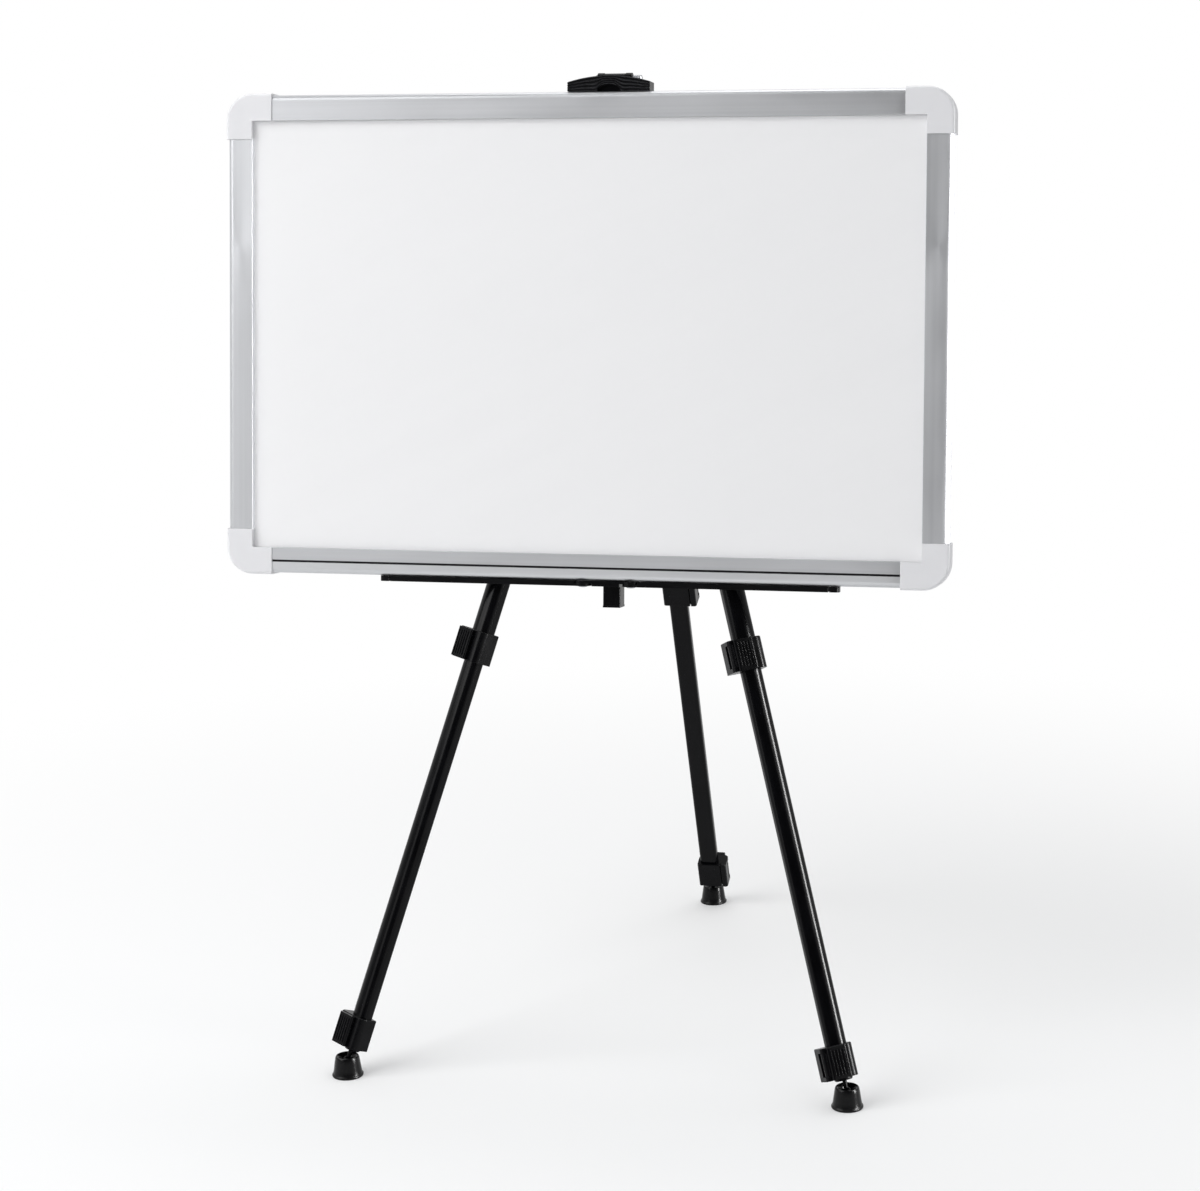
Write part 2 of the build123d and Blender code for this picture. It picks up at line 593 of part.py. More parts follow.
def lock_lever(at, width, depth):
    """The ribbed flip lever, closed over the collar's outer face, with its two trunnions."""
    face_x, side_y, (px, py) = lock_sizes(width, depth)
    z0, z1 = -at - lock_height / 2, -at + lock_height / 2
    inner_x = face_x + pad_gap
    outer_x = inner_x + pad_thickness
    pad = box(inner_x, outer_x, py, py + pad_length, -at - pad_height / 2, -at + pad_height / 2)
    pad = fillet(pad.edges().filter_by(Axis.Z).group_by(Axis.X)[-1], pad_round)
    b0, b1 = z0 + ear_height + slide_clearance, z1 - ear_height - slide_clearance
    lever = pad + box(px, inner_x + 1, py - 1, py + lever_barrel, b0, b1)
    lever += rod(lever_barrel, (px, py, b0), (px, py, b1))
    lever += rod(trunnion_radius, (px, py, z0 + trunnion_end), (px, py, z1 - trunnion_end))
    pitch = (pad_length - rib_start - rib_end) / rib_count
    rib_z = pad_height / 2 - rib_margin
    for i in range(rib_count):
        y = py + rib_start + pitch * i
        lever += box(outer_x - rib_height, outer_x + rib_height, y, y + rib_width, -at - rib_z, -at + rib_z)
    return lever


stud_top = lower_lock_at + lock_height / 2 + slide_clearance


def ball_stud():
    """The plug in the lowest tube's end, with its flange, neck and ball."""
    inner = tube_section(lower_width - 2 * (tube_wall + fit_gap), lower_depth - 2 * (tube_wall + fit_gap),
                         section_round - tube_wall)
    plug_top = stud_top - fitting_plug / 2
    body = Pos(0, 0, -stud_top) * extrude(inner, stud_top - plug_top)
    flange = Pos(0, 0, -stud_top - stud_flange) * extrude(tube_section(lower_width, lower_depth), stud_flange)
    body += chamfer(flange.edges().group_by(Axis.Z)[0], stud_flange / 2)
    body += rod(neck_radius, (0, 0, -leg_length), (0, 0, -stud_top - stud_flange / 2))
    return body + Pos(0, 0, -leg_length) * Sphere(ball_radius)


def foot():
    """A rubber foot on the floor under a ball at ball_height, with the ball's socket."""
    base, top, edge = foot_base_radius, foot_top_radius, foot_edge
    profile = Polyline((0, 0), (base - edge, 0), (base, edge), (base, foot_lip),
                       (base - edge, foot_lip + edge), (top + edge, foot_height - edge),
                       (top, foot_height), (0, foot_height), (0, 0))
    body = revolve(Plane.XZ * make_face(profile), Axis.Z)
    body -= Pos(0, 0, ball_height) * Sphere(ball_radius + running_gap)
    mouth = foot_height - ball_height
    cone = Cone(ball_radius - foot_edge, foot_top_radius - socket_mouth, mouth)
    return body - Pos(0, 0, ball_height + mouth / 2 + 1) * cone


legs = {}
leg_frames = {}
foot_places = {}
pin_places = {}
leg_turns = {"left": -front_leg_azimuth, "right": front_leg_azimuth, "rear": 180.0}
section_turns = {"left": -front_section_turn, "right": front_section_turn, "rear": 180.0}
pin_spots = {"left": (mast_x - front_pin_x, front_pin_y), "right": (mast_x + front_pin_x, front_pin_y),
             "rear": (mast_x, rear_pin_y)}
for name, azimuth in leg_turns.items():
    out_x, out_y = sin(radians(azimuth)), -cos(radians(azimuth))
    pin_x, pin_y = pin_spots[name]
    pin_at = Vector(pin_x, pin_y, pin_z)
    ball_at = Vector(pin_x + leg_spread * out_x, pin_y + leg_spread * out_y, ball_height)
    along = (pin_at - ball_at).normalized()
    turn = section_turns[name]
    round_side = Vector(sin(radians(turn)), -cos(radians(turn)), 0)
    x_dir = (round_side - along * round_side.dot(along)).normalized()
    place = Plane(origin=pin_at, x_dir=x_dir, z_dir=along)
    spread_dir = Vector(out_x, out_y, 0)
    spread_in = spread_dir - along * spread_dir.dot(along)
    eye_turn = degrees(atan2(spread_in.dot(place.y_dir), spread_in.dot(place.x_dir)))
    upper_end = upper_lock_at + lock_seat - fit_gap
    middle_top = upper_lock_at - tube_overlap
    middle_end = lower_lock_at + lock_seat - fit_gap
    lower_top = middle_top + lower_inset
    pieces = {
        "upper_tube": leg_tube(upper_width, upper_depth, fitting_shoulder, upper_end),
        "top_fitting": top_fitting(eye_turn),
        "upper_lock": lock_collar(upper_lock_at, upper_width, upper_depth),
        "upper_lever": lock_lever(upper_lock_at, upper_width, upper_depth),
        "middle_tube": leg_tube(middle_width, middle_depth, middle_top, middle_end),
        "lower_lock": lock_collar(lower_lock_at, middle_width, middle_depth),
        "lower_lever": lock_lever(lower_lock_at, middle_width, middle_depth),
        "lower_tube": leg_tube(lower_width, lower_depth, lower_top, stud_top),
        "ball_stud": ball_stud(),
    }
    for piece, solid in pieces.items():
        legs[f"{name}_{piece}"] = place.location * solid
    legs[f"{name}_foot"] = Pos(ball_at.X, ball_at.Y, 0) * foot()
    leg_frames[name] = place
    pin_places[name] = (pin_at, Vector(out_y, -out_x, 0))
    foot_places[name] = ball_at

# Tripod head: a post with three forks for the legs and a tongue for the tilt bolt
head_height = head_above + cheek_radius
head = Pos(mast_x, head_y, pin_z - cheek_radius + head_height / 2) * Cylinder(head_radius, head_height)
head = chamfer(head.edges(), head_bevel)
tilt_at = Vector(
    mast_x,
    board_y + tilt_v * cos(radians(board_tilt)) + pivot_w * sin(radians(board_tilt)),
    board_z - tilt_v * sin(radians(board_tilt)) + pivot_w * cos(radians(board_tilt)))
head += box(mast_x - tilt_tongue / 2, mast_x + tilt_tongue / 2, tilt_at.Y, head_y,
            tilt_at.Z - tilt_radius, tilt_at.Z + tilt_radius)
head += rod(tilt_radius, (mast_x - tilt_tongue / 2, tilt_at.Y, tilt_at.Z),
            (mast_x + tilt_tongue / 2, tilt_at.Y, tilt_at.Z))
fork_half = cheek_gap / 2 + cheek_thickness
leg_pins = []
slots = []
for name, (pin_at, across) in pin_places.items():
    outward = Vector(-across.Y, across.X, 0)
    fork = Plane(origin=pin_at, x_dir=outward, z_dir=across).location
    cheeks = box(-fork_root, 0, -cheek_radius, cheek_radius, -fork_half, fork_half)
    head += fork * (cheeks + rod(cheek_radius, (0, 0, -fork_half), (0, 0, fork_half)))
    slot = box(-eye_radius - slot_clearance, fork_root, -fork_root, fork_root, -cheek_gap / 2, cheek_gap / 2)
    slots.append(fork * (slot + rod(leg_pin_radius, (0, 0, -fork_half), (0, 0, fork_half))))
    pin = rod(leg_pin_radius, (0, 0, -fork_half), (0, 0, fork_half))
    for end in (-1, 1):
        face = end * fork_half
        pin += rod(pin_head_radius, (0, 0, face), (0, 0, face + end * pin_head_height))
    leg_pins.append(fork * pin)
for slot in slots:
    head -= slot
head -= rod(tilt_bolt_radius + running_gap, (mast_x - tilt_tongue, tilt_at.Y, tilt_at.Z),
            (mast_x + tilt_tongue, tilt_at.Y, tilt_at.Z))

parts = {name: board_frame * solid for name, solid in board.items()}
parts.update({name: board_frame * solid for name, solid in mast.items()})
parts["mast_knob"] = board_frame * mast_knob
parts["slider_tube"] = board_frame * slider
parts["clamp_base"] = board_frame * clamp_base
parts["clamp_pin"] = board_frame * clamp_pin
parts["clamp_wing"] = board_frame * wing
parts["ledge_carriage"] = board_frame * carriage
parts["ledge_knob"] = board_frame * ledge_knob
parts["arm_rivets"] = board_frame * (Part() + rivets)
for side, name in ((-1, "left"), (1, "right")):
    parts[f"ledge_arm_{name}"] = board_frame * ledge_arm(side)
    parts[f"ledge_tip_{name}"] = board_frame * arm_end_tip(side)
parts["tripod_head"] = head
parts["leg_pins"] = Part() + leg_pins
parts.update(legs)

# The origin is on the floor, midway between the foremost and rearmost points
boxes = [solid.bounding_box() for solid in parts.values()]
origin_shift = -(min(b.min.Y for b in boxes) + max(b.max.Y for b in boxes)) / 2
parts = {name: Pos(0, origin_shift, 0) * solid for name, solid in parts.items()}

if __name__ == "__main__":
    os.makedirs("parts", exist_ok=True)
    for name, solid in parts.items():
        export_step(solid, f"parts/{name}.step")
    print(len(parts), "sub-parts")
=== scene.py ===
"""Dresses the tripod whiteboard easel: finishes, fine hardware, studio and camera."""

import json
import logging
import math
from dataclasses import dataclass, field
from enum import Enum
from typing import Callable, Sequence

import bmesh
import bpy
from mathutils import Matrix, Vector


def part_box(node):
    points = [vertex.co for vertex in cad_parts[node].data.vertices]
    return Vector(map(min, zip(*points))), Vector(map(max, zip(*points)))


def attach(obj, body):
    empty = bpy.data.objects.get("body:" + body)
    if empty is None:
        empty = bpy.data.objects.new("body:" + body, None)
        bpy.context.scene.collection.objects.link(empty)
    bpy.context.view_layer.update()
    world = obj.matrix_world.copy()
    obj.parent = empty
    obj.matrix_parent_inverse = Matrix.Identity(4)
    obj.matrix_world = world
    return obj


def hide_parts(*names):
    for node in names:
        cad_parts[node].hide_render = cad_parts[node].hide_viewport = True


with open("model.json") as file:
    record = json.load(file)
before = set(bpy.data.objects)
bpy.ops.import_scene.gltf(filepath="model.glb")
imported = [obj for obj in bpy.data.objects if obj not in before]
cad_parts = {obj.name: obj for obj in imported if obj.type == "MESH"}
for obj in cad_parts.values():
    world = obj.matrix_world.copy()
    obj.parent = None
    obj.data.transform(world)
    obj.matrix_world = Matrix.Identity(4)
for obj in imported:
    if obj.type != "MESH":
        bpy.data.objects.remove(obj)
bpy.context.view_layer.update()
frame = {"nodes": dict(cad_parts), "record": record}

log = logging.getLogger("easel")

MM = 0.001
FULL_TURN = 2.0 * math.pi
UP = Vector((0.0, 0.0, 1.0))
BOARD_TILT = math.radians(7.0)
BOARD_WIDTH = 0.600
BOARD_HEIGHT = 0.393
RAIL_LIP = 0.004

Colour = tuple[float, float, float]
Range = tuple[float, float]
Profile = Sequence[tuple[float, float]]
Outline = Callable[[float, float], float]
Socket = bpy.types.NodeSocket
Value = bpy.types.NodeSocket | float | Vector | tuple
Work = bmesh.types.BMesh
Ring = list[bmesh.types.BMVert]


class Leg(Enum):
    """The three legs, by the names of their nodes."""

    LEFT = "left"
    RIGHT = "right"
    REAR = "rear"


class Curve(Enum):
    """How a mapped value changes between its two ends."""

    STRAIGHT = "LINEAR"
    EASED = "SMOOTHSTEP"


@dataclass(frozen=True)
class BoardSpace:
    """The tilted frame of the board: x along it, y back from its front face, z up its face."""

    tilt: float = BOARD_TILT

    def matrix(self) -> Matrix:
        """The frame as a world matrix, placed by the mount at the writing face's middle.

        Returns:
            The matrix that carries board coordinates in metres into the world.
        """
        face = next(mount for mount in frame["record"]["mounts"] if mount["name"] == "writing_face")
        turn = Matrix.Rotation(-self.tilt, 4, "X")
        foot = Vector(face["pos_m"]) - turn.to_3x3() @ Vector((0.0, RAIL_LIP, BOARD_HEIGHT / 2))
        return Matrix.Translation(foot) @ turn

    def up(self) -> Vector:
        """The direction up the board's face."""
        return (self.matrix().to_3x3() @ UP).normalized()

    def back(self) -> Vector:
        """The direction square into the board's face."""
        return (self.matrix().to_3x3() @ Vector((0.0, 1.0, 0.0))).normalized()


# Node trees


@dataclass(frozen=True)
class Grain:
    """How fine a noise is, in cells per metre across and along its direction."""

    across: float
    along: float
    detail: float = 4.0
    roughness: float = 0.55

    @classmethod
    def even(cls, cells: float, detail: float = 4.0, roughness: float = 0.55) -> "Grain":
        """A grain that is as fine along its direction as across."""
        return cls(cells, cells, detail, roughness)


@dataclass(frozen=True)
class Relief:
    """A bump's depth in metres, and how strongly it shows."""

    depth: float
    strength: float


class NodeBench:
    """A node tree, with short ways to add and join its nodes."""

    def __init__(self, tree: bpy.types.NodeTree) -> None:
        """Takes a node tree and empties it."""
        self.tree = tree
        tree.nodes.clear()

    def add(self, kind: str, inputs: dict[str | int, Value] | None = None,
            **settings: object) -> bpy.types.Node:
        """Adds a node, sets its properties and fills its inputs.

        Args:
            kind: The node's type name.
            inputs: What each input gets: a plain value, or an output to link.
            **settings: Properties of the node.

        Returns:
            The new node.
        """
        node = self.tree.nodes.new(kind)
        for key, value in settings.items():
            setattr(node, key, value)
        for key, value in (inputs or {}).items():
            self.put(value, node.inputs[key])
        return node

    def put(self, value: Value, target: Socket) -> None:
        """Gives an input its plain value, or links it to an output.

        Args:
            value: The plain value or the output.
            target: The input.
        """
        if isinstance(value, Socket):
            self.tree.links.new(value, target)
        else:
            target.default_value = value

    def place(self, kind: str = "Object") -> Socket:
        """The place on the surface, in one of the kinds of texture coordinates."""
        return self.add("ShaderNodeTexCoord").outputs[kind]

    def combine(self, operation: str, first: Value, second: Value) -> Socket:
        """Joins two numbers by an operation, such as MULTIPLY or MAXIMUM."""
        node = self.add("ShaderNodeMath", {0: first, 1: second}, operation=operation)
        return node.outputs["Value"]

    def dot(self, first: Value, second: Value) -> Socket:
        """The dot product of two vectors."""
        node = self.add("ShaderNodeVectorMath", {0: first, 1: second}, operation="DOT_PRODUCT")
        return node.outputs["Value"]

    def span(self, factor: Socket, values: Range, reach: Range = (0.3, 0.7),
             curve: Curve = Curve.STRAIGHT) -> Socket:
        """Maps a factor onto a range of values.

        Args:
            factor: The factor to map.
            values: The values at the reach's start and end.
            reach: The factors that give these values.
            curve: How the value changes in between.

        Returns:
            The mapped value.
        """
        inputs = {"Value": factor, "From Min": reach[0], "From Max": reach[1],
                  "To Min": values[0], "To Max": values[1]}
        node = self.add("ShaderNodeMapRange", inputs, interpolation_type=curve.value)
        return node.outputs["Result"]

    def background(self, colour: Colour, strength: Value) -> Socket:
        """Light of a colour and strength from all round."""
        inputs = {"Color": (*colour, 1.0), "Strength": strength}
        return self.add("ShaderNodeBackground", inputs).outputs["Background"]

    def mix_shaders(self, factor: Socket, first: Socket, second: Socket) -> Socket:
        """Passes from the first shader to the second as a factor goes from 0 to 1."""
        return self.add("ShaderNodeMixShader", {0: factor, 1: first, 2: second}).outputs["Shader"]

    def output(self, kind: str, shader: Socket) -> None:
        """Ends the tree with an output of a kind."""
        self.add(kind, {"Surface": shader})


class NodeSheet(NodeBench):
    """A material's node tree while a finish lays it out."""

    # Cosines of the rounded normal's turn: at a full edge, and where the face counts as flat
    edge_to_flat: Range = (0.86, 0.995)
    bevel_samples: int = 6

    def __init__(self, name: str) -> None:
        """Starts an empty material with its shader and output.

        Args:
            name: The material's name.
        """
        self.material = bpy.data.materials.new(name)
        self.material.use_nodes = True
        super().__init__(self.material.node_tree)
        self.shader = self.add("ShaderNodeBsdfPrincipled")
        self.output("ShaderNodeOutputMaterial", self.shader.outputs["BSDF"])

    def noise(self, grain: Grain, along: Vector = UP) -> Socket:
        """A noise texture's factor, in object coordinates.

        Args:
            grain: How fine the noise is.
            along: The direction that the grain follows.

        Returns:
            The factor.
        """
        turn = along.rotation_difference(UP).to_euler()
        turned = self.add("ShaderNodeMapping", {"Vector": self.place(), "Rotation": turn})
        cells = (grain.across, grain.across, grain.along)
        scaled = self.add("ShaderNodeVectorMath", {0: turned.outputs["Vector"], 1: cells},
                          operation="MULTIPLY")
        inputs = {"Vector": scaled.outputs["Vector"], "Scale": 1.0, "Detail": grain.detail,
                  "Roughness": grain.roughness}
        return self.add("ShaderNodeTexNoise", inputs).outputs["Fac"]

    def dimples(self, cells: float) -> Socket:
        """A height that sinks towards each cell's middle, with so many cells per metre."""
        inputs = {"Vector": self.place(), "Scale": cells}
        return self.add("ShaderNodeTexVoronoi", inputs).outputs["Distance"]

    def tint(self, factor: Socket, first: Colour, second: Colour, reach: Range) -> Socket:
        """Passes from one colour to another as a factor grows.

        Args:
            factor: The factor.
            first: The colour up to the reach's start.
            second: The colour from the reach's end.
            reach: The factors between which it changes.

        Returns:
            The colour.
        """
        ramp = self.add("ShaderNodeValToRGB", {"Fac": factor})
        for element, position, colour in zip(ramp.color_ramp.elements, reach, (first, second)):
            element.position = position
            element.color = (*colour, 1.0)
        return ramp.outputs["Color"]

    def blend(self, factor: Socket, first: Socket, second: Colour) -> Socket:
        """Mixes a colour towards a fixed one by a factor; 6, 7 and 2 are the mix's colour sockets."""
        inputs = {"Factor": factor, 6: first, 7: (*second, 1.0)}
        return self.add("ShaderNodeMix", inputs, data_type="RGBA").outputs[2]

    def distance(self, along: Vector) -> Socket:
        """How far a place lies along a direction, in object coordinates."""
        return self.dot(self.place(), along)

    def band(self, distance: Socket, low: float, high: float, soft: float) -> Socket:
        """1 where a distance lies between two values, and 0 outside them.

        Args:
            distance: The distance in metres.
            low: Where the band starts.
            high: Where the band ends.
            soft: The width of each fading end.

        Returns:
            The mask.
        """
        before = self.span(distance, (1.0, 0.0), (low - soft, low))
        after = self.span(distance, (0.0, 1.0), (high, high + soft))
        return self.span(self.combine("MAXIMUM", before, after), (1.0, 0.0), (0.0, 1.0))

    def soft_edges(self, radius: float) -> Socket:
        """A normal that rounds sharp edges off by a radius in metres."""
        bevel = self.add("ShaderNodeBevel", {"Radius": radius}, samples=self.bevel_samples)
        return bevel.outputs["Normal"]

    def edge_mask(self, rounded: Socket) -> Socket:
        """1 on the edges that a rounded normal softens, and 0 on flat faces.

        Args:
            rounded: The rounded normal.

        Returns:
            The mask.
        """
        surface = self.add("ShaderNodeNewGeometry")
        likeness = self.dot(rounded, surface.outputs["Normal"])
        return self.span(likeness, (1.0, 0.0), self.edge_to_flat)

    def emboss(self, height: Socket, relief: Relief, normal: Socket | None = None) -> Socket:
        """A bump on top of another normal.

        Args:
            height: The height factor.
            relief: The bump's depth and strength.
            normal: The normal below, if any.

        Returns:
            The bumped normal.
        """
        inputs = {"Height": height, "Distance": relief.depth, "Strength": relief.strength}
        if normal is not None:
            inputs["Normal"] = normal
        return self.add("ShaderNodeBump", inputs).outputs["Normal"]

    def colour_so_far(self) -> Socket:
        """The colour that the shader has now."""
        return self.shader.inputs["Base Color"].links[0].from_socket

    def feed(self, **values: Value) -> None:
        """Gives the shader's inputs their values; underscores in a name stand for spaces."""
        for key, value in values.items():
            self.put(value, self.shader.inputs[key.replace("_", " ")])


# Finishes


@dataclass(frozen=True)
class Finish:
    """A finish that any number of materials can have."""

    def lay_out(self, sheet: NodeSheet) -> None:
        """Adds the finish's nodes.

        Args:
            sheet: The material's sheet.
        """
        raise NotImplementedError

    def make(self, name: str) -> bpy.types.Material:
        """Makes a material with this finish.

        Args:
            name: The material's name.

        Returns:
            The material.
        """
        sheet = NodeSheet(name)
        self.lay_out(sheet)
        return sheet.material


@dataclass(frozen=True)
class SatinAnodised(Finish):
    """Silver anodised extrusion with drawing lines and a faint mottle."""

    along: Vector
    base: Colour = (0.515, 0.522, 0.540)
    light: Colour = (0.565, 0.572, 0.590)
    tones: Range = (0.25, 0.75)
    worn: Colour = (0.78, 0.79, 0.81)
    wear_and_highlight: float = 0.45
    roughness: Range = (0.40, 0.50)
    lines: Grain = Grain(1400.0, 6.0, 3.0, 0.6)
    broad: Grain = Grain(260.0, 1.6, 2.0)
    mottle: Grain = Grain(40.0, 9.0, 3.0)
    drawn: Relief = Relief(0.00006, 0.35)
    edge_radius: float = 0.0005
    metallic: float = 0.92
    anisotropy: float = 0.3

    def lay_out(self, sheet: NodeSheet) -> None:
        """Lays out the drawing lines, the mottle and the worn edges."""
        broad = sheet.noise(self.broad, self.along)
        mottle = sheet.noise(self.mottle, self.along)
        lines = sheet.noise(self.lines, self.along)
        rounded = sheet.soft_edges(self.edge_radius)
        wear_and_highlight = sheet.combine("MULTIPLY", sheet.edge_mask(rounded), self.wear_and_highlight)
        colour = sheet.tint(broad, self.base, self.light, self.tones)
        sheet.feed(
            Base_Color=sheet.blend(wear_and_highlight, colour, self.worn),
            Roughness=sheet.span(mottle, self.roughness),
            Normal=sheet.emboss(lines, self.drawn, rounded),
            Metallic=self.metallic,
            Anisotropic=self.anisotropy,
        )


@dataclass(frozen=True)
class GroovedRail(SatinAnodised):
    """The lower rail's anodising: painted shade deep in its groove and a painted highlight on the
    strip under it.
    """

    upward: Vector = field(default_factory=UP.copy)
    edge_height: float = 0.0
    groove: Range = (0.0093, 0.0109)
    soft: float = 0.0002
    # Painted shade: the groove's shadow gap is darkened in the colour
    groove_shade: Colour = (0.022, 0.022, 0.024)
    # Painted highlight: the strip under the groove is painted paler where it catches the light
    pale: Colour = (0.62, 0.63, 0.645)
    paleness: float = 0.7

    def lay_out(self, sheet: NodeSheet) -> None:
        """Adds the painted shade in the groove and the painted highlight on the strip under it to the
        anodising.
        """
        super().lay_out(sheet)
        rise = sheet.distance(self.upward)
        low, high = (self.edge_height + edge for edge in self.groove)
        # Painted highlight on the strip under the groove
        under = sheet.span(rise, (self.paleness, 0.0), (low - self.soft, low))
        colour = sheet.blend(under, sheet.colour_so_far(), self.pale)
        # Painted shade laid in the groove, where its shadow gap falls
        inside = sheet.band(rise, low, high, self.soft)
        sheet.feed(Base_Color=sheet.blend(inside, colour, self.groove_shade))


@dataclass(frozen=True)
class BlackTubeCoat(Finish):
    """Gloss black coating on a drawn tube, with slight waviness and rubbed edges."""

    along: Vector
    base: Colour = (0.0010, 0.0010, 0.0014)
    dusty: Colour = (0.0032, 0.0032, 0.0042)
    rubbed: Colour = (0.08, 0.08, 0.085)
    dust_reach: Range = (0.35, 0.8)
    rub: Range = (0.0, 0.25)
    rub_reach: Range = (0.5, 0.8)
    gloss: float = 0.16
    dulled: float = 0.1
    specular: float = 0.12
    lines: Grain = Grain(900.0, 12.0, 2.0)
    wave: Grain = Grain(70.0, 12.0, 2.0)
    dust_and_highlight: Grain = Grain(90.0, 30.0, 6.0, 0.7)
    drawn: Relief = Relief(0.00004, 0.2)
    waviness: Relief = Relief(0.00025, 0.25)
    edge_radius: float = 0.0004

    def lay_out(self, sheet: NodeSheet) -> None:
        """Lays out the wavy coat, its dust and the rubbed edges."""
        lines = sheet.noise(self.lines, self.along)
        wave = sheet.noise(self.wave, self.along)
        dust_and_highlight = sheet.noise(self.dust_and_highlight, self.along)
        rounded = sheet.soft_edges(self.edge_radius)
        spots = sheet.span(dust_and_highlight, self.rub, self.rub_reach)
        rub = sheet.combine("MULTIPLY", sheet.edge_mask(rounded), spots)
        colour = sheet.tint(dust_and_highlight, self.base, self.dusty, self.dust_reach)
        wavy = sheet.emboss(wave, self.waviness, rounded)
        sheet.feed(
            Base_Color=sheet.blend(rub, colour, self.rubbed),
            Roughness=sheet.span(dust_and_highlight, (self.gloss, self.gloss + self.dulled), self.dust_reach),
            Normal=sheet.emboss(lines, self.drawn, wavy),
            Specular_IOR_Level=self.specular,
        )


@dataclass(frozen=True)
class MouldedPlastic(Finish):
    """Injection moulded plastic with a fine spark-eroded grain and softened edges."""

    base: Colour
    shade: Colour
    # The edges' colour: partly edge wear, partly a painted highlight
    edge: Colour
    tones: Range = (0.3, 0.75)
    wear_and_highlight: float = 0.5
    roughness: float = 0.45
    smoother: float = 0.05
    rougher: float = 0.07
    specular: float = 0.35
    grain: Grain = Grain.even(2600.0, 2.0)
    cloud: Grain = Grain.even(55.0)
    grain_depth: float = 0.00005
    grain_strength: float = 0.35
    edge_radius: float = 0.0004

    def lay_out(self, sheet: NodeSheet) -> None:
        """Lays out the grain, the clouds and the edges, lightened partly as wear and partly as a
        painted highlight.
        """
        grain = sheet.noise(self.grain)
        cloud = sheet.noise(self.cloud)
        rounded = sheet.soft_edges(self.edge_radius)
        # Edge mask for the wear and the painted highlight on the edges
        wear_and_highlight = sheet.combine("MULTIPLY", sheet.edge_mask(rounded), self.wear_and_highlight)
        colour = sheet.tint(cloud, self.base, self.shade, self.tones)
        roughness = (self.roughness - self.smoother, self.roughness + self.rougher)
        sheet.feed(
            Base_Color=sheet.blend(wear_and_highlight, colour, self.edge),
            Roughness=sheet.span(cloud, roughness),
            Normal=sheet.emboss(grain, Relief(self.grain_depth, self.grain_strength), rounded),
            Specular_IOR_Level=self.specular,
        )


@dataclass(frozen=True)
class RidgesWithPaintedHighlight(MouldedPlastic):
    """Black moulding whose shallow front grooves are painted a lighter grey: a painted highlight that
    picks out the ridges.
    """

    inward: Vector = field(default_factory=lambda: Vector((0.0, 1.0, 0.0)))
    face_depth: float = 0.0
    groove_floor: Range = (2.6 * MM, 3.1 * MM)
    soft: float = 0.2 * MM
    # Painted highlight: the lighter grey laid on the groove floors
    dust_and_highlight: Colour = (0.050, 0.050, 0.054)

    def lay_out(self, sheet: NodeSheet) -> None:
        """Adds the painted highlight on the groove floors to the moulding."""
        super().lay_out(sheet)
        low, high = (self.face_depth + depth for depth in self.groove_floor)
        floor = sheet.band(sheet.distance(self.inward), low, high, self.soft)
        sheet.feed(Base_Color=sheet.blend(floor, sheet.colour_so_far(), self.dust_and_highlight))


@dataclass(frozen=True)
class LacqueredSheet(Finish):
    """White lacquered writing surface with a faint orange peel and wiped haze."""

    base: Colour = (0.862, 0.858, 0.864)
    haze: Colour = (0.847, 0.843, 0.850)
    tones: Range = (0.3, 0.8)
    roughness: Range = (0.32, 0.36)
    specular: float = 0.22
    stroke: tuple[float, float, float] = (0.9, 0.0, 0.44)
    wiped: Grain = Grain(22.0, 3.0, 4.0, 0.6)
    peel: Grain = Grain.even(420.0, 3.0)
    peel_relief: Relief = Relief(0.00003, 0.15)

    def lay_out(self, sheet: NodeSheet) -> None:
        """Lays out the wiped haze and the orange peel."""
        wiped = sheet.noise(self.wiped, Vector(self.stroke).normalized())
        sheet.feed(
            Base_Color=sheet.tint(wiped, self.base, self.haze, self.tones),
            Roughness=sheet.span(wiped, self.roughness),
            Normal=sheet.emboss(sheet.noise(self.peel), self.peel_relief),
            Specular_IOR_Level=self.specular,
        )


@dataclass(frozen=True)
class PressedFibre(Finish):
    """Hard pressed fibre board with flecks, soft clouds and a finely dimpled press mark."""

    base: Colour = (0.17, 0.115, 0.07)
    fleck: Colour = (0.28, 0.20, 0.13)
    cloudy: Colour = (0.22, 0.15, 0.095)
    tones: Range = (0.3, 0.75)
    cloud_share: Range = (0.0, 0.35)
    roughness: Range = (0.62, 0.78)
    specular: float = 0.25
    lay: tuple[float, float, float] = (0.8, 0.1, 0.6)
    fibres: Grain = Grain(700.0, 160.0, 5.0, 0.7)
    cloud: Grain = Grain.even(14.0, 5.0)
    press_cells: float = 900.0
    press: Relief = Relief(0.00015, 0.4)

    def lay_out(self, sheet: NodeSheet) -> None:
        """Lays out the fibres, the clouds and the press mark."""
        fibres = sheet.noise(self.fibres, Vector(self.lay).normalized())
        share = sheet.span(sheet.noise(self.cloud), self.cloud_share)
        colour = sheet.tint(fibres, self.base, self.fleck, self.tones)
        sheet.feed(
            Base_Color=sheet.blend(share, colour, self.cloudy),
            Roughness=sheet.span(fibres, self.roughness),
            Normal=sheet.emboss(sheet.dimples(self.press_cells), self.press),
            Specular_IOR_Level=self.specular,
        )


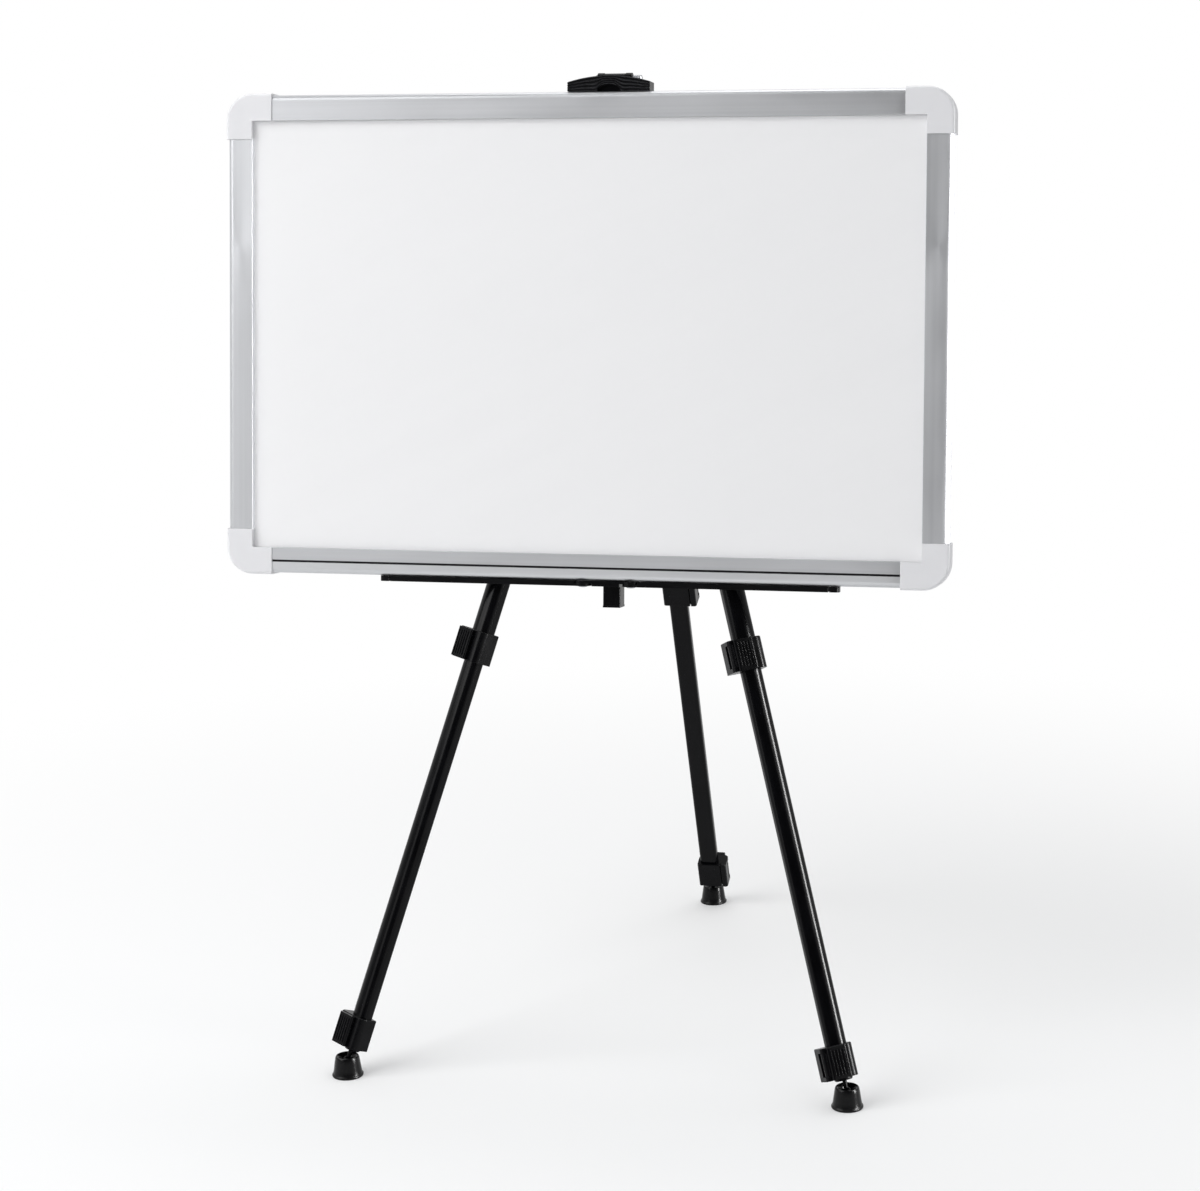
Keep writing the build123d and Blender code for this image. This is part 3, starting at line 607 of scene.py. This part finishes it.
@dataclass(frozen=True)
class ZincPlate(Finish):
    """Zinc plated steel with a crystalline mottle."""

    base: Colour = (0.29, 0.295, 0.31)
    bright: Colour = (0.42, 0.425, 0.44)
    tones: Range = (0.3, 0.7)
    roughness: Range = (0.26, 0.42)
    metallic: float = 1.0
    crystal: Grain = Grain.even(500.0)
    turned: Grain = Grain.even(2400.0, 2.0)
    turned_relief: Relief = Relief(0.00004, 0.3)
    edge_radius: float = 0.00025

    def lay_out(self, sheet: NodeSheet) -> None:
        """Lays out the crystals and the turned grain."""
        crystal = sheet.noise(self.crystal)
        rounded = sheet.soft_edges(self.edge_radius)
        sheet.feed(
            Base_Color=sheet.tint(crystal, self.base, self.bright, self.tones),
            Roughness=sheet.span(crystal, self.roughness),
            Normal=sheet.emboss(sheet.noise(self.turned), self.turned_relief, rounded),
            Metallic=self.metallic,
        )


@dataclass(frozen=True)
class GlossRubber(Finish):
    """Dense black rubber, shiny from the mould and scuffed low down."""

    base: Colour = (0.0014, 0.0014, 0.0018)
    cloudy: Colour = (0.0050, 0.0050, 0.0054)
    scuffed: Colour = (0.010, 0.010, 0.010)
    tones: Range = (0.3, 0.8)
    scuff_height: float = 0.004
    scuff: Range = (0.2, 1.0)
    scuff_reach: Range = (0.4, 0.65)
    roughness: Range = (0.24, 0.6)
    specular: float = 0.18
    fine: Grain = Grain.even(1500.0, 3.0)
    cloud: Grain = Grain.even(240.0, 5.0, 0.65)
    fine_relief: Relief = Relief(0.00005, 0.25)

    def lay_out(self, sheet: NodeSheet) -> None:
        """Lays out the clouds, the fine grain and the scuffs near the floor."""
        cloud = sheet.noise(self.cloud)
        low = sheet.span(sheet.distance(UP), (1.0, 0.0), (0.0, self.scuff_height))
        spots = sheet.span(cloud, self.scuff, self.scuff_reach)
        scuff = sheet.combine("MULTIPLY", low, spots)
        colour = sheet.tint(cloud, self.base, self.cloudy, self.tones)
        sheet.feed(
            Base_Color=sheet.blend(scuff, colour, self.scuffed),
            Roughness=sheet.span(scuff, self.roughness, (0.0, 1.0)),
            Normal=sheet.emboss(sheet.noise(self.fine), self.fine_relief),
            Specular_IOR_Level=self.specular,
        )


# Mesh helpers


def mesh_piece(name: str, build: Callable[[Work], None], material: bpy.types.Material,
               body: str, crisp_angle: float = 35.0) -> bpy.types.Object:
    """Makes one visible piece and sets it on its body.

    Args:
        name: The piece's name.
        build: Fills the mesh, in world metres.
        material: Its finish.
        body: The body that carries it.
        crisp_angle: Edges sharper than this many degrees stay crisp.

    Returns:
        The piece.
    """
    mesh = bpy.data.meshes.new(name)
    work = bmesh.new()
    build(work)
    bmesh.ops.recalc_face_normals(work, faces=work.faces)
    limit = math.radians(crisp_angle)
    for face in work.faces:
        face.smooth = True
    for edge in work.edges:
        edge.smooth = not (len(edge.link_faces) == 2 and edge.calc_face_angle(0.0) > limit)
    work.to_mesh(mesh)
    work.free()
    mesh.materials.append(material)
    piece = bpy.data.objects.new(name, mesh)
    bpy.context.scene.collection.objects.link(piece)
    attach(piece, body)
    log.info("%s: %d faces on %s", name, len(mesh.polygons), body)
    return piece


def plain_round(_angle: float, radius: float) -> float:
    """The outline of a plain turned ring."""
    return radius


def hexagon(flats: float) -> Outline:
    """An outline that trims turned rings to a hexagon, so that smaller rings become its chamfer.

    Args:
        flats: The distance between opposite flats.

    Returns:
        The outline.
    """
    sixth = FULL_TURN / 6.0

    def trim(angle: float, radius: float) -> float:
        """The ring's radius, cut by the flat at this angle."""
        return min(radius, flats / 2.0 / math.cos(angle % sixth - sixth / 2.0))

    return trim


def scalloped(lobes: int, centre: float, scallop: float) -> Outline:
    """An outline with round hollows, like a thumb screw's grip.

    Args:
        lobes: The number of hollows.
        centre: From the axis to the middle of each hollow's circle.
        scallop: The hollows' radius.

    Returns:
        The outline.
    """
    pitch = FULL_TURN / lobes

    def trim(angle: float, radius: float) -> float:
        """The ring's radius, cut by the nearest hollow."""
        off = (angle + pitch / 2.0) % pitch - pitch / 2.0
        inside = scallop ** 2 - (centre * math.sin(off)) ** 2
        if inside <= 0.0:
            return radius
        return min(radius, centre * math.cos(off) - math.sqrt(inside))

    return trim


def angles(steps: int) -> list[float]:
    """The angles of evenly spaced points round an axis."""
    return [FULL_TURN * index / steps for index in range(steps)]


def bridge(work: Work, rings: Sequence[Ring]) -> None:
    """Joins each ring of points to the next; a ring of one point closes the form.

    Args:
        work: The mesh to add to.
        rings: The rings, with one point or all the same number.
    """
    steps = max(len(ring) for ring in rings)
    for lower, upper in zip(rings, rings[1:]):
        for index in range(steps):
            after = (index + 1) % steps
            if len(lower) == 1:
                corners = (lower[0], upper[index], upper[after])
            elif len(upper) == 1:
                corners = (lower[index], lower[after], upper[0])
            else:
                corners = (lower[index], lower[after], upper[after], upper[index])
            work.faces.new(corners)


def lathe(work: Work, profile: Profile, steps: int, place: Matrix,
          outline: Outline = plain_round) -> None:
    """Turns a closed profile round an axis.

    Args:
        work: The mesh to add to.
        profile: Radius and height pairs; a radius of 0 closes the end.
        steps: The number of segments round the axis.
        place: Carries the axis z into the world.
        outline: Trims each ring by angle.
    """
    rings: list[Ring] = []
    for radius, height in profile:
        ring = []
        for turn in angles(steps if radius > 0.0 else 1):
            reach = outline(turn, radius)
            point = Vector((reach * math.cos(turn), reach * math.sin(turn), height))
            ring.append(work.verts.new(place @ point))
        rings.append(ring)
    bridge(work, rings)


def in_mm(profile: Profile, lift: float = 0.0) -> list[tuple[float, float]]:
    """A profile given in millimetres, in metres, and moved along its axis.

    Args:
        profile: Radius and height pairs in millimetres.
        lift: Added to each height, in millimetres.

    Returns:
        The profile in metres.
    """
    return [(radius * MM, (height + lift) * MM) for radius, height in profile]


def joint_axis(name: str) -> Matrix:
    """The place of a joint, with z along its axis.

    Args:
        name: The joint's name.

    Returns:
        The matrix from the axis into the world.
    """
    joints = frame["record"]["behaviour"]["joints"]
    joint = next(item for item in joints if item["name"] == name)
    turn = UP.rotation_difference(Vector(joint["axis"])).to_matrix().to_4x4()
    return Matrix.Translation(Vector(joint["pos_m"])) @ turn


def middle(node: str) -> Vector:
    """The middle of a node's box."""
    low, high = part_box(node)
    return (low + high) / 2


def leg_direction(leg: Leg) -> Vector:
    """The unit direction from a leg's foot up to its hinge pin."""
    return (middle(f"{leg.value}_top_fitting") - middle(f"{leg.value}_foot")).normalized()


def paint(material: bpy.types.Material, *nodes: str) -> None:
    """Gives nodes of the frame their finish.

    Args:
        material: The finish.
        *nodes: The nodes' names.
    """
    for node in nodes:
        item = frame["nodes"][node]
        if not item.material_slots:
            item.data.materials.append(material)
        for holder in item.material_slots:
            holder.material = material
        log.info("%s: %s", node, material.name)


# Finishes of this easel


class Finishes:
    """All the finishes of the easel, made once."""

    def __init__(self) -> None:
        """Makes every material."""
        space = BoardSpace()
        up, back = space.up(), space.back()
        corner = space.matrix().translation
        along = Vector((1.0, 0.0, 0.0))
        self.rail_level = SatinAnodised(along).make("anodised_rail_level")
        # The lower rail carries painted shade in its groove and a painted highlight on the strip
        # below it
        grooved = GroovedRail(along, upward=up, edge_height=corner.dot(up))
        self.rail_lower = grooved.make("anodised_rail_lower")
        self.rail_upright = SatinAnodised(up).make("anodised_rail_upright")
        # The mouldings' edge colours are lighter than their bases: partly edge wear, partly painted
        # highlight
        self.cap = MouldedPlastic(
            base=(0.752, 0.749, 0.765), shade=(0.727, 0.724, 0.742), edge=(0.83, 0.83, 0.845),
            roughness=0.42, grain_depth=0.00003, edge_radius=0.0008,
        ).make("pale_cap_plastic")
        self.sheet = LacqueredSheet().make("white_lacquer")
        self.core = PressedFibre().make("pressed_fibre_back")
        self.zinc = ZincPlate().make("zinc_plate")
        self.rubber = GlossRubber().make("gloss_rubber")
        black, cloudy_black = (0.0014, 0.0014, 0.0020), (0.0034, 0.0034, 0.0042)
        self.black = MouldedPlastic(
            base=black, shade=(0.0032, 0.0032, 0.0040), edge=(0.020, 0.020, 0.022),
            roughness=0.26, specular=0.11,
        ).make("black_moulding")
        self.lever = MouldedPlastic(
            base=black, shade=cloudy_black, edge=(0.030, 0.030, 0.033),
            roughness=0.25, specular=0.11, grain_depth=0.00003, edge_radius=0.0003,
        ).make("black_lever_moulding")
        # Painted highlight: the wing's lighter edge colour and groove floors stand in for the light
        # its ridges catch
        self.ridged = RidgesWithPaintedHighlight(
            base=black, shade=cloudy_black, edge=(0.045, 0.045, 0.048),
            roughness=0.24, specular=0.12, grain_depth=0.00003,
            inward=back, face_depth=corner.dot(back),
        ).make("black_ridged_moulding")
        self.mast = BlackTubeCoat(up, gloss=0.22).make("black_mast_coat")
        self.arm = BlackTubeCoat(along, gloss=0.28).make("black_arm_coat")
        self.legs = {
            leg: BlackTubeCoat(leg_direction(leg)).make(f"black_{leg.value}_leg_coat") for leg in Leg
        }


# Sub-assemblies


@dataclass
class BoardAssembly:
    """The writing board: rails, corner caps, lacquered sheet, core and cap screws.

    The crown's rows are shares of a screw head's radius and height, and the cross's half width
    and reach are shares of its radius.
    """

    finishes: Finishes
    space: BoardSpace = field(default_factory=BoardSpace)
    screw_radius: float = 3.0 * MM
    screw_height: float = 1.2 * MM
    screw_steps: int = 48
    screw_inset: float = 10.5 * MM
    cap_back: float = 18.8 * MM
    crown: Profile = ((1.0, 0.0), (1.0, 0.35), (0.93, 0.72), (0.75, 0.93),
                      (0.58, 1.0), (0.46, 1.0), (0.30, 1.0), (0.12, 1.0))
    cross_half_width: float = 0.1224
    cross_reach: float = 0.5
    cross_depth: float = 0.7 * MM

    def dress(self) -> None:
        """Paints the board's nodes and adds its screws."""
        paint(self.finishes.rail_level, "rail_top")
        paint(self.finishes.rail_lower, "rail_bottom")
        paint(self.finishes.rail_upright, "rail_left", "rail_right")
        for height in ("lower", "upper"):
            paint(self.finishes.cap, f"corner_cap_{height}_left", f"corner_cap_{height}_right")
        paint(self.finishes.sheet, "writing_sheet")
        paint(self.finishes.core, "core_panel")
        screws = mesh_piece("cap_cross_screws", self.screws, self.finishes.zinc, "board")
        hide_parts("cap_screws")

    def screws(self, work: Work) -> None:
        """Builds four pan head screws with a cross recess.

        Args:
            work: The mesh to fill.
        """
        facing_back = Matrix.Rotation(-math.pi / 2, 4, "X")
        for side in (-1, 1):
            x = side * (BOARD_WIDTH / 2 - self.screw_inset)
            for z in (self.screw_inset, BOARD_HEIGHT - self.screw_inset):
                seat = Matrix.Translation(Vector((x, self.cap_back, z))) @ facing_back
                self.pan_head(work, self.space.matrix() @ seat)

    def pan_head(self, work: Work, place: Matrix) -> None:
        """Builds one pan head whose cross is sunk into its crown.

        Args:
            work: The mesh to add to.
            place: Carries the screw's axis z, pointing out, into the world.
        """
        half_width = self.screw_radius * self.cross_half_width
        rings = []
        for share, lift in self.crown:
            ring = []
            for turn in angles(self.screw_steps):
                x = self.screw_radius * share * math.cos(turn)
                y = self.screw_radius * share * math.sin(turn)
                sunk = share < self.cross_reach and min(abs(x), abs(y)) < half_width
                z = self.screw_height * lift - (self.cross_depth if sunk else 0.0)
                ring.append(work.verts.new(place @ Vector((x, y, z))))
            rings.append(ring)
        bridge(work, rings)
        work.faces.new(rings[-1])
        work.faces.new(list(reversed(rings[0])))


@dataclass
class MastAssembly:
    """Mast, sliding tube, tilt bracket, collar, ledge and top clamp."""

    finishes: Finishes

    def dress(self) -> None:
        """Paints the mast's nodes."""
        paint(self.finishes.mast, "mast_tube", "slider_tube")
        paint(self.finishes.black, "mast_end_plug", "mast_collar", "tilt_bracket", "clamp_base",
              "ledge_carriage", "ledge_tip_left", "ledge_tip_right")
        paint(self.finishes.ridged, "clamp_wing")
        paint(self.finishes.arm, "ledge_arm_left", "ledge_arm_right")


@dataclass
class HeadAssembly:
    """The tripod head that joins the three legs and carries the mast."""

    finishes: Finishes

    def dress(self) -> None:
        """Paints the head."""
        paint(self.finishes.black, "tripod_head")


@dataclass
class Hardware:
    """Turned and lobed small parts on the joints' axes: bolt, pins, rivets and thumb screws.

    Profiles, heights and the thread are in millimetres along each joint's axis.
    """

    finishes: Finishes
    steps: int = 48
    grip_steps: int = 96
    bolt_flats: float = 9.5 * MM
    bolt_shank: Profile = ((0.0, 12.2), (2.6, 12.2), (3.0, 12.0), (3.0, -13.9))
    bolt_tail: Profile = ((2.3, -16.7), (0.0, -16.8))
    bolt_head: Profile = ((0.0, 9.3), (5.0, 9.3), (5.45, 9.5), (5.45, 12.0), (4.9, 12.55),
                          (4.3, 12.75), (0.0, 12.75))
    bolt_nut: Profile = ((3.05, -9.3), (4.9, -9.3), (5.45, -9.8), (5.45, -13.2), (4.9, -13.75),
                         (3.4, -13.75), (3.05, -13.4), (3.05, -9.3))
    thread_start: float = -14.0
    thread_pitch: float = 0.5
    thread_turns: int = 5
    thread_crest: float = 2.95
    thread_root: float = 2.6
    pin_tail: Profile = ((0.0, -22.1), (1.8, -22.1), (2.3, -21.9), (2.75, -21.3))
    pin_grooves: tuple[float, ...] = (-20.6, -19.0, -17.4)
    pin_groove: Profile = ((2.75, 0.0), (2.35, 0.2), (2.35, 0.6), (2.75, 0.8))
    pin_shank: Profile = ((2.75, -14.6), (2.5, -14.1), (2.0, -14.1), (2.0, 14.1))
    pin_head: Profile = ((3.35, 14.1), (3.35, 15.1), (3.0, 15.6), (2.1, 15.95), (1.0, 16.08),
                         (0.0, 16.1))
    rivet: Profile = ((0.0, -3.5), (1.2, -3.46), (2.4, -3.3), (3.3, -3.02), (3.9, -2.66),
                      (4.15, -2.32), (2.5, -2.3), (2.5, 1.9), (2.2, 2.15), (1.0, 2.15),
                      (0.8, 1.8), (0.0, 1.8))
    leg_pin_half: Profile = ((2.5, 9.0), (3.95, 9.02), (3.9, 9.4), (3.5, 9.9), (2.7, 10.3),
                             (1.4, 10.55), (0.0, 10.6))
    stem_radius: float = 3.0
    stem_chamfer: float = 0.4
    stem_in_grip: float = 0.5
    grip: Profile = ((0.0, 0.0), (4.6, 0.0), (4.9, 0.4), (7.2, 0.4), (8.2, 0.5), (8.8, 0.9),
                     (8.98, 1.6), (8.98, 7.4), (8.8, 8.1), (8.3, 8.6), (7.6, 8.9), (6.9, 8.98),
                     (5.4, 8.98), (5.1, 8.8), (5.0, 8.3), (0.0, 8.3))
    lobes: int = 8
    hollow_centre: float = 10.2 * MM
    hollow_radius: float = 2.4 * MM

    def dress(self) -> None:
        """Adds each part in place of its plain node."""
        zinc = (self.finishes.zinc, "zinc_steel")
        black = (self.finishes.black, "black_plastic")
        parts = (
            ("tilt_hex_bolt", "tilt_bolt", self.bolt, "mast", zinc),
            ("clamp_headed_pin", "clamp_pin", self.clamp_pin, "mast_slider", zinc),
            ("arm_domed_rivets", "arm_rivets", self.rivets, "ledge", zinc),
            ("leg_domed_pins", "leg_pins", self.leg_pins, "tripod_head", zinc),
            ("mast_thumb_screw", "mast_knob", self.mast_screw, "mast_knob", black),
            ("ledge_thumb_screw", "ledge_knob", self.ledge_screw, "ledge_knob", black),
        )
        for name, node, build, body, (material, slot) in parts:
            piece = mesh_piece(name, build, material, body)
            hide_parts(node)

    def bolt(self, work: Work) -> None:
        """Builds the tilt bolt: a chamfered hexagon head, a nut and a threaded tail.

        Args:
            work: The mesh to fill.
        """
        place = joint_axis("mast_tilt")
        shank = list(self.bolt_shank)
        for turn in range(self.thread_turns):
            crest = self.thread_start - self.thread_pitch * turn
            shank += [(self.thread_crest, crest), (self.thread_root, crest - self.thread_pitch / 2)]
        shank += self.bolt_tail
        lathe(work, in_mm(shank), self.steps, place)
        for profile in (self.bolt_head, self.bolt_nut):
            lathe(work, in_mm(profile), self.steps, place, hexagon(self.bolt_flats))

    def clamp_pin(self, work: Work) -> None:
        """Builds the clamp's pin: a domed head, a plain shank and a grooved tail.

        Args:
            work: The mesh to fill.
        """
        profile = list(self.pin_tail)
        for start in self.pin_grooves:
            profile += [(radius, start + height) for radius, height in self.pin_groove]
        profile += (*self.pin_shank, *self.pin_head)
        lathe(work, in_mm(profile), self.steps, joint_axis("clamp_wing_lift"))

    def rivets(self, work: Work) -> None:
        """Builds the two rivets of the ledge's arms, domes down.

        Args:
            work: The mesh to fill.
        """
        over = Matrix.Rotation(math.pi, 4, "X")
        lathe(work, in_mm(self.rivet), self.steps, joint_axis("ledge_arm_left_swing"))
        lathe(work, in_mm(self.rivet), self.steps, joint_axis("ledge_arm_right_swing") @ over)

    def leg_pins(self, work: Work) -> None:
        """Builds the three hinge pins of the legs, with a dome on each end.

        Args:
            work: The mesh to fill.
        """
        mirrored = [(radius, -height) for radius, height in reversed(self.leg_pin_half)]
        for leg in Leg:
            place = joint_axis(f"{leg.value}_leg_fold")
            lathe(work, in_mm((*mirrored, *self.leg_pin_half)), self.steps, place)

    def thumb_screw(self, work: Work, joint: str, stem_from: float, grip_from: float) -> None:
        """Builds a thumb screw with a lobed grip and a sunk cap.

        Args:
            work: The mesh to fill.
            joint: The joint whose axis carries it.
            stem_from: The stem's hidden end along the axis, in millimetres.
            grip_from: The grip's near face along the axis, in millimetres.
        """
        place = joint_axis(joint)
        stem_to = grip_from + self.stem_in_grip
        stem = ((0.0, stem_from), (self.stem_radius - self.stem_chamfer, stem_from),
                (self.stem_radius, stem_from + self.stem_chamfer), (self.stem_radius, stem_to),
                (0.0, stem_to))
        lathe(work, in_mm(stem), self.steps, place)
        outline = scalloped(self.lobes, self.hollow_centre, self.hollow_radius)
        lathe(work, in_mm(self.grip, grip_from), self.grip_steps, place, outline)

    def mast_screw(self, work: Work) -> None:
        """Builds the thumb screw that holds the sliding mast."""
        self.thumb_screw(work, "mast_knob_turn", stem_from=-0.8, grip_from=7.2)

    def ledge_screw(self, work: Work) -> None:
        """Builds the thumb screw that holds the ledge."""
        self.thumb_screw(work, "ledge_knob_turn", stem_from=-2.6, grip_from=4.5)


@dataclass
class LegAssembly:
    """One telescopic leg with two flip locks and a rubber foot on a ball stud.

    The foot's sizes are in millimetres. Its lip is given by how far each point lies in from the
    base's radius and up, its rim by how far out from the top's radius and down from the top, and
    its socket by radius and how far down from the top.
    """

    leg: Leg
    finishes: Finishes
    foot_base: float = 12.75
    foot_top: float = 9.3
    foot_height: float = 17.0
    tread: Profile = ((0.0, 0.6), (2.4, 0.6), (2.7, 0.0), (4.6, 0.0), (4.9, 0.6), (6.3, 0.6),
                      (6.6, 0.0), (8.4, 0.0), (8.7, 0.6), (10.0, 0.6), (10.3, 0.0))
    lip: Profile = ((0.9, 0.0), (0.35, 0.12), (0.0, 0.6), (0.0, 1.4), (0.25, 1.9), (0.8, 2.35),
                    (0.95, 2.8), (1.6, 6.5))
    rim: Profile = ((1.0, 4.5), (0.45, 1.5), (0.2, 0.6), (-0.35, 0.0), (-1.0, 0.05))
    socket: Profile = ((7.2, 0.6), (6.4, 1.6), (5.2, 2.6), (4.75, 3.6), (4.6, 5.0), (3.7, 7.6),
                       (2.2, 9.0), (0.0, 9.5))
    steps: int = 72
    crisp_angle: float = 50.0

    def dress(self) -> None:
        """Paints the leg's nodes and adds its foot."""
        name = self.leg.value
        paint(self.finishes.legs[self.leg], f"{name}_upper_tube", f"{name}_middle_tube",
              f"{name}_lower_tube")
        paint(self.finishes.black, f"{name}_top_fitting", f"{name}_upper_lock",
              f"{name}_lower_lock", f"{name}_ball_stud")
        paint(self.finishes.lever, f"{name}_upper_lever", f"{name}_lower_lever")
        foot = mesh_piece(f"{name}_turned_foot", self.foot, self.finishes.rubber,
                          f"{name}_foot", self.crisp_angle)
        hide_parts(f"{name}_foot")

    def foot(self, work: Work) -> None:
        """Builds the foot: a skirt with a lip, a rolled rim, a ball socket and tread rings.

        Args:
            work: The mesh to fill.
        """
        centre = middle(f"{self.leg.value}_foot")
        centre.z = 0.0
        profile = list(self.tread)
        profile += [(self.foot_base - inset, rise) for inset, rise in self.lip]
        profile += [(self.foot_top + out, self.foot_height - drop) for out, drop in self.rim]
        profile += [(radius, self.foot_height - drop) for radius, drop in self.socket]
        lathe(work, in_mm(profile), self.steps, Matrix.Translation(centre))


# Studio and camera


@dataclass
class Lamp:
    """A rectangular soft lamp that faces a point; the matt colours don't show a gloss_only one."""

    name: str
    place: Vector
    width: float
    height: float
    power: float
    gloss_only: bool = False
    towards: Vector = field(default_factory=lambda: Vector((0.0, -0.05, 0.45)))

    def hang(self) -> None:
        """Adds the lamp to the scene."""
        light = bpy.data.lights.new(self.name, "AREA")
        light.shape = "RECTANGLE"
        light.size = self.width
        light.size_y = self.height
        light.energy = self.power
        lamp = bpy.data.objects.new(self.name, light)
        lamp.location = self.place
        lamp.visible_diffuse = not self.gloss_only
        lamp.rotation_euler = (self.towards - self.place).to_track_quat("-Z", "Y").to_euler()
        bpy.context.scene.collection.objects.link(lamp)


@dataclass
class Studio:
    """A pale floor, a white surround, two soft lamps and two lamps that only the sheens show.

    The floor passes into white over fade_reach, in metres from its middle. In mirrored rays the
    surround is dim towards dim_side, the side of the camera.
    """

    ambient: float = 0.53
    ambient_colour: Colour = (0.97, 0.985, 1.0)
    white: Colour = (1.0, 1.0, 1.0)
    mirrored_colour: Colour = (0.8, 0.8, 0.8)
    dim_side: tuple[float, float, float] = (0.10, -0.97, 0.20)
    dim_reach: Range = (-0.15, 0.75)
    dim_least: float = 0.12
    floor_half: float = 14.0
    floor_colour: Colour = (0.93, 0.93, 0.93)
    fade_reach: Range = (0.30, 1.3)
    fade_least: float = 0.25

    def build(self) -> None:
        """Adds the surround, the floor and the lamps."""
        self.surround()
        self.floor()
        lamps = (
            Lamp("left_softbox", Vector((-2.1, -1.7, 2.3)), width=2.3, height=2.3, power=64.0),
            Lamp("left_card", Vector((-1.45, -1.75, 0.85)), width=0.7, height=1.4, power=4.6,
                 gloss_only=True),
            Lamp("right_strip", Vector((2.2, -0.35, 0.6)), width=0.30, height=2.2, power=170.0,
                 gloss_only=True),
            Lamp("top_softbox", Vector((0.1, 0.4, 2.6)), width=1.6, height=1.2, power=15.0),
        )
        for lamp in lamps:
            lamp.hang()

    def seen_directly(self, bench: NodeBench) -> Socket:
        """1 for rays from the eye and for rays mirrored or passed on, else 0.

        Args:
            bench: The node tree to add to.

        Returns:
            The factor.
        """
        path = bench.add("ShaderNodeLightPath")
        total = path.outputs["Is Camera Ray"]
        for key in ("Is Glossy Ray", "Is Transmission Ray"):
            total = bench.combine("MAXIMUM", total, path.outputs[key])
        return total

    def surround(self) -> None:
        """Makes the world white to look at, plain as a light, and dim where the fronts mirror it."""
        world = bpy.data.worlds.new("studio_surround")
        bpy.context.scene.world = world
        world.use_nodes = True
        bench = NodeBench(world.node_tree)
        seen = bench.background(self.white, 1.0)
        lit = bench.background(self.ambient_colour, self.ambient)
        mirrored = bench.background(self.mirrored_colour, self.mirrored_strength(bench))
        path = bench.add("ShaderNodeLightPath")
        plain = bench.mix_shaders(path.outputs["Is Camera Ray"], lit, seen)
        mixed = bench.mix_shaders(path.outputs["Is Glossy Ray"], plain, mirrored)
        bench.output("ShaderNodeOutputWorld", mixed)

    def mirrored_strength(self, bench: NodeBench) -> Socket:
        """The surround's strength in mirrored rays: dim behind the eye, brighter at the sides.

        Args:
            bench: The node tree to add to.

        Returns:
            The strength.
        """
        facing = bench.dot(bench.place("Generated"), self.dim_side)
        return bench.span(facing, (1.0, self.dim_least), self.dim_reach, Curve.EASED)

    def floor(self) -> None:
        """Lays a pale floor that passes into the surround far from the easel."""
        mesh = bpy.data.meshes.new("studio_floor")
        half = self.floor_half
        corners = [(-half, -half, 0), (half, -half, 0), (half, half, 0), (-half, half, 0)]
        mesh.from_pydata(corners, [], [(0, 1, 2, 3)])
        ground = bpy.data.objects.new("studio_floor", mesh)
        bpy.context.scene.collection.objects.link(ground)
        mesh.materials.append(self.floor_paper())

    def floor_paper(self) -> bpy.types.Material:
        """Makes the floor's material, which keeps the easel's shadow and fades to white.

        Returns:
            The material.
        """
        material = bpy.data.materials.new("studio_floor")
        material.use_nodes = True
        bench = NodeBench(material.node_tree)
        paper = bench.add("ShaderNodeBsdfDiffuse", {"Color": (*self.floor_colour, 1.0)})
        white = bench.add("ShaderNodeEmission")
        length = bench.add("ShaderNodeVectorMath", {0: bench.place()}, operation="LENGTH")
        fade = bench.span(length.outputs["Value"], (self.fade_least, 1.0), self.fade_reach,
                          Curve.EASED)
        share = bench.combine("MULTIPLY", fade, self.seen_directly(bench))
        mixed = bench.mix_shaders(share, paper.outputs["BSDF"], white.outputs["Emission"])
        bench.output("ShaderNodeOutputMaterial", mixed)
        return material


@dataclass
class PhotoCamera:
    """The camera at the photograph's angle, from its fitted focal length and place.

    The image's sizes, the focal length and the centre are in pixels, and the rest in metres and
    radians, apart from the sensor's width in millimetres.
    """

    image_width: float = 1200.0
    image_height: float = 1191.0
    focal: float = 2634.9
    centre: tuple[float, float] = (737.0, 495.4)
    distance: float = 2.0932
    pitch: float = math.radians(9.8)
    yaw: float = math.radians(11.4)
    roll: float = math.radians(-0.9)
    from_board: tuple[float, float, float] = (0.1319, 0.0, 0.0722)
    sensor: float = 36.0
    far: float = 60.0

    def place(self) -> None:
        """Adds the camera and makes it the scene's own."""
        level = Vector((math.cos(self.yaw), math.sin(self.yaw), 0.0))
        ahead = Vector((-math.sin(self.yaw), math.cos(self.yaw), 0.0))
        look = ahead * math.cos(self.pitch) - UP * math.sin(self.pitch)
        upright = level.cross(look)
        right = level * math.cos(self.roll) + upright * math.sin(self.roll)
        up = upright * math.cos(self.roll) - level * math.sin(self.roll)
        lens = bpy.data.cameras.new("photo_camera")
        lens.sensor_fit = "HORIZONTAL"
        lens.sensor_width = self.sensor
        lens.lens = self.focal / self.image_width * self.sensor
        lens.shift_x = (self.image_width / 2 - self.centre[0]) / self.image_width
        lens.shift_y = (self.centre[1] - self.image_height / 2) / self.image_width
        lens.clip_end = self.far
        camera = bpy.data.objects.new("photo_camera", lens)
        turn = Matrix((right, up, -look)).transposed().to_4x4()
        target = BoardSpace().matrix().translation + Vector(self.from_board)
        camera.matrix_world = Matrix.Translation(target - look * self.distance) @ turn
        bpy.context.scene.collection.objects.link(camera)
        bpy.context.scene.camera = camera


def main() -> None:
    """Builds the sub-assemblies in order, then the studio and the camera."""
    logging.basicConfig(level=logging.INFO, format="%(name)s %(message)s")
    bpy.context.scene.view_settings.view_transform = "Standard"
    finishes = Finishes()
    PhotoCamera().place()
    BoardAssembly(finishes).dress()
    MastAssembly(finishes).dress()
    HeadAssembly(finishes).dress()
    Hardware(finishes).dress()
    for leg in Leg:
        LegAssembly(leg, finishes).dress()
    Studio().build()


if __name__ == "__main__":
    main()
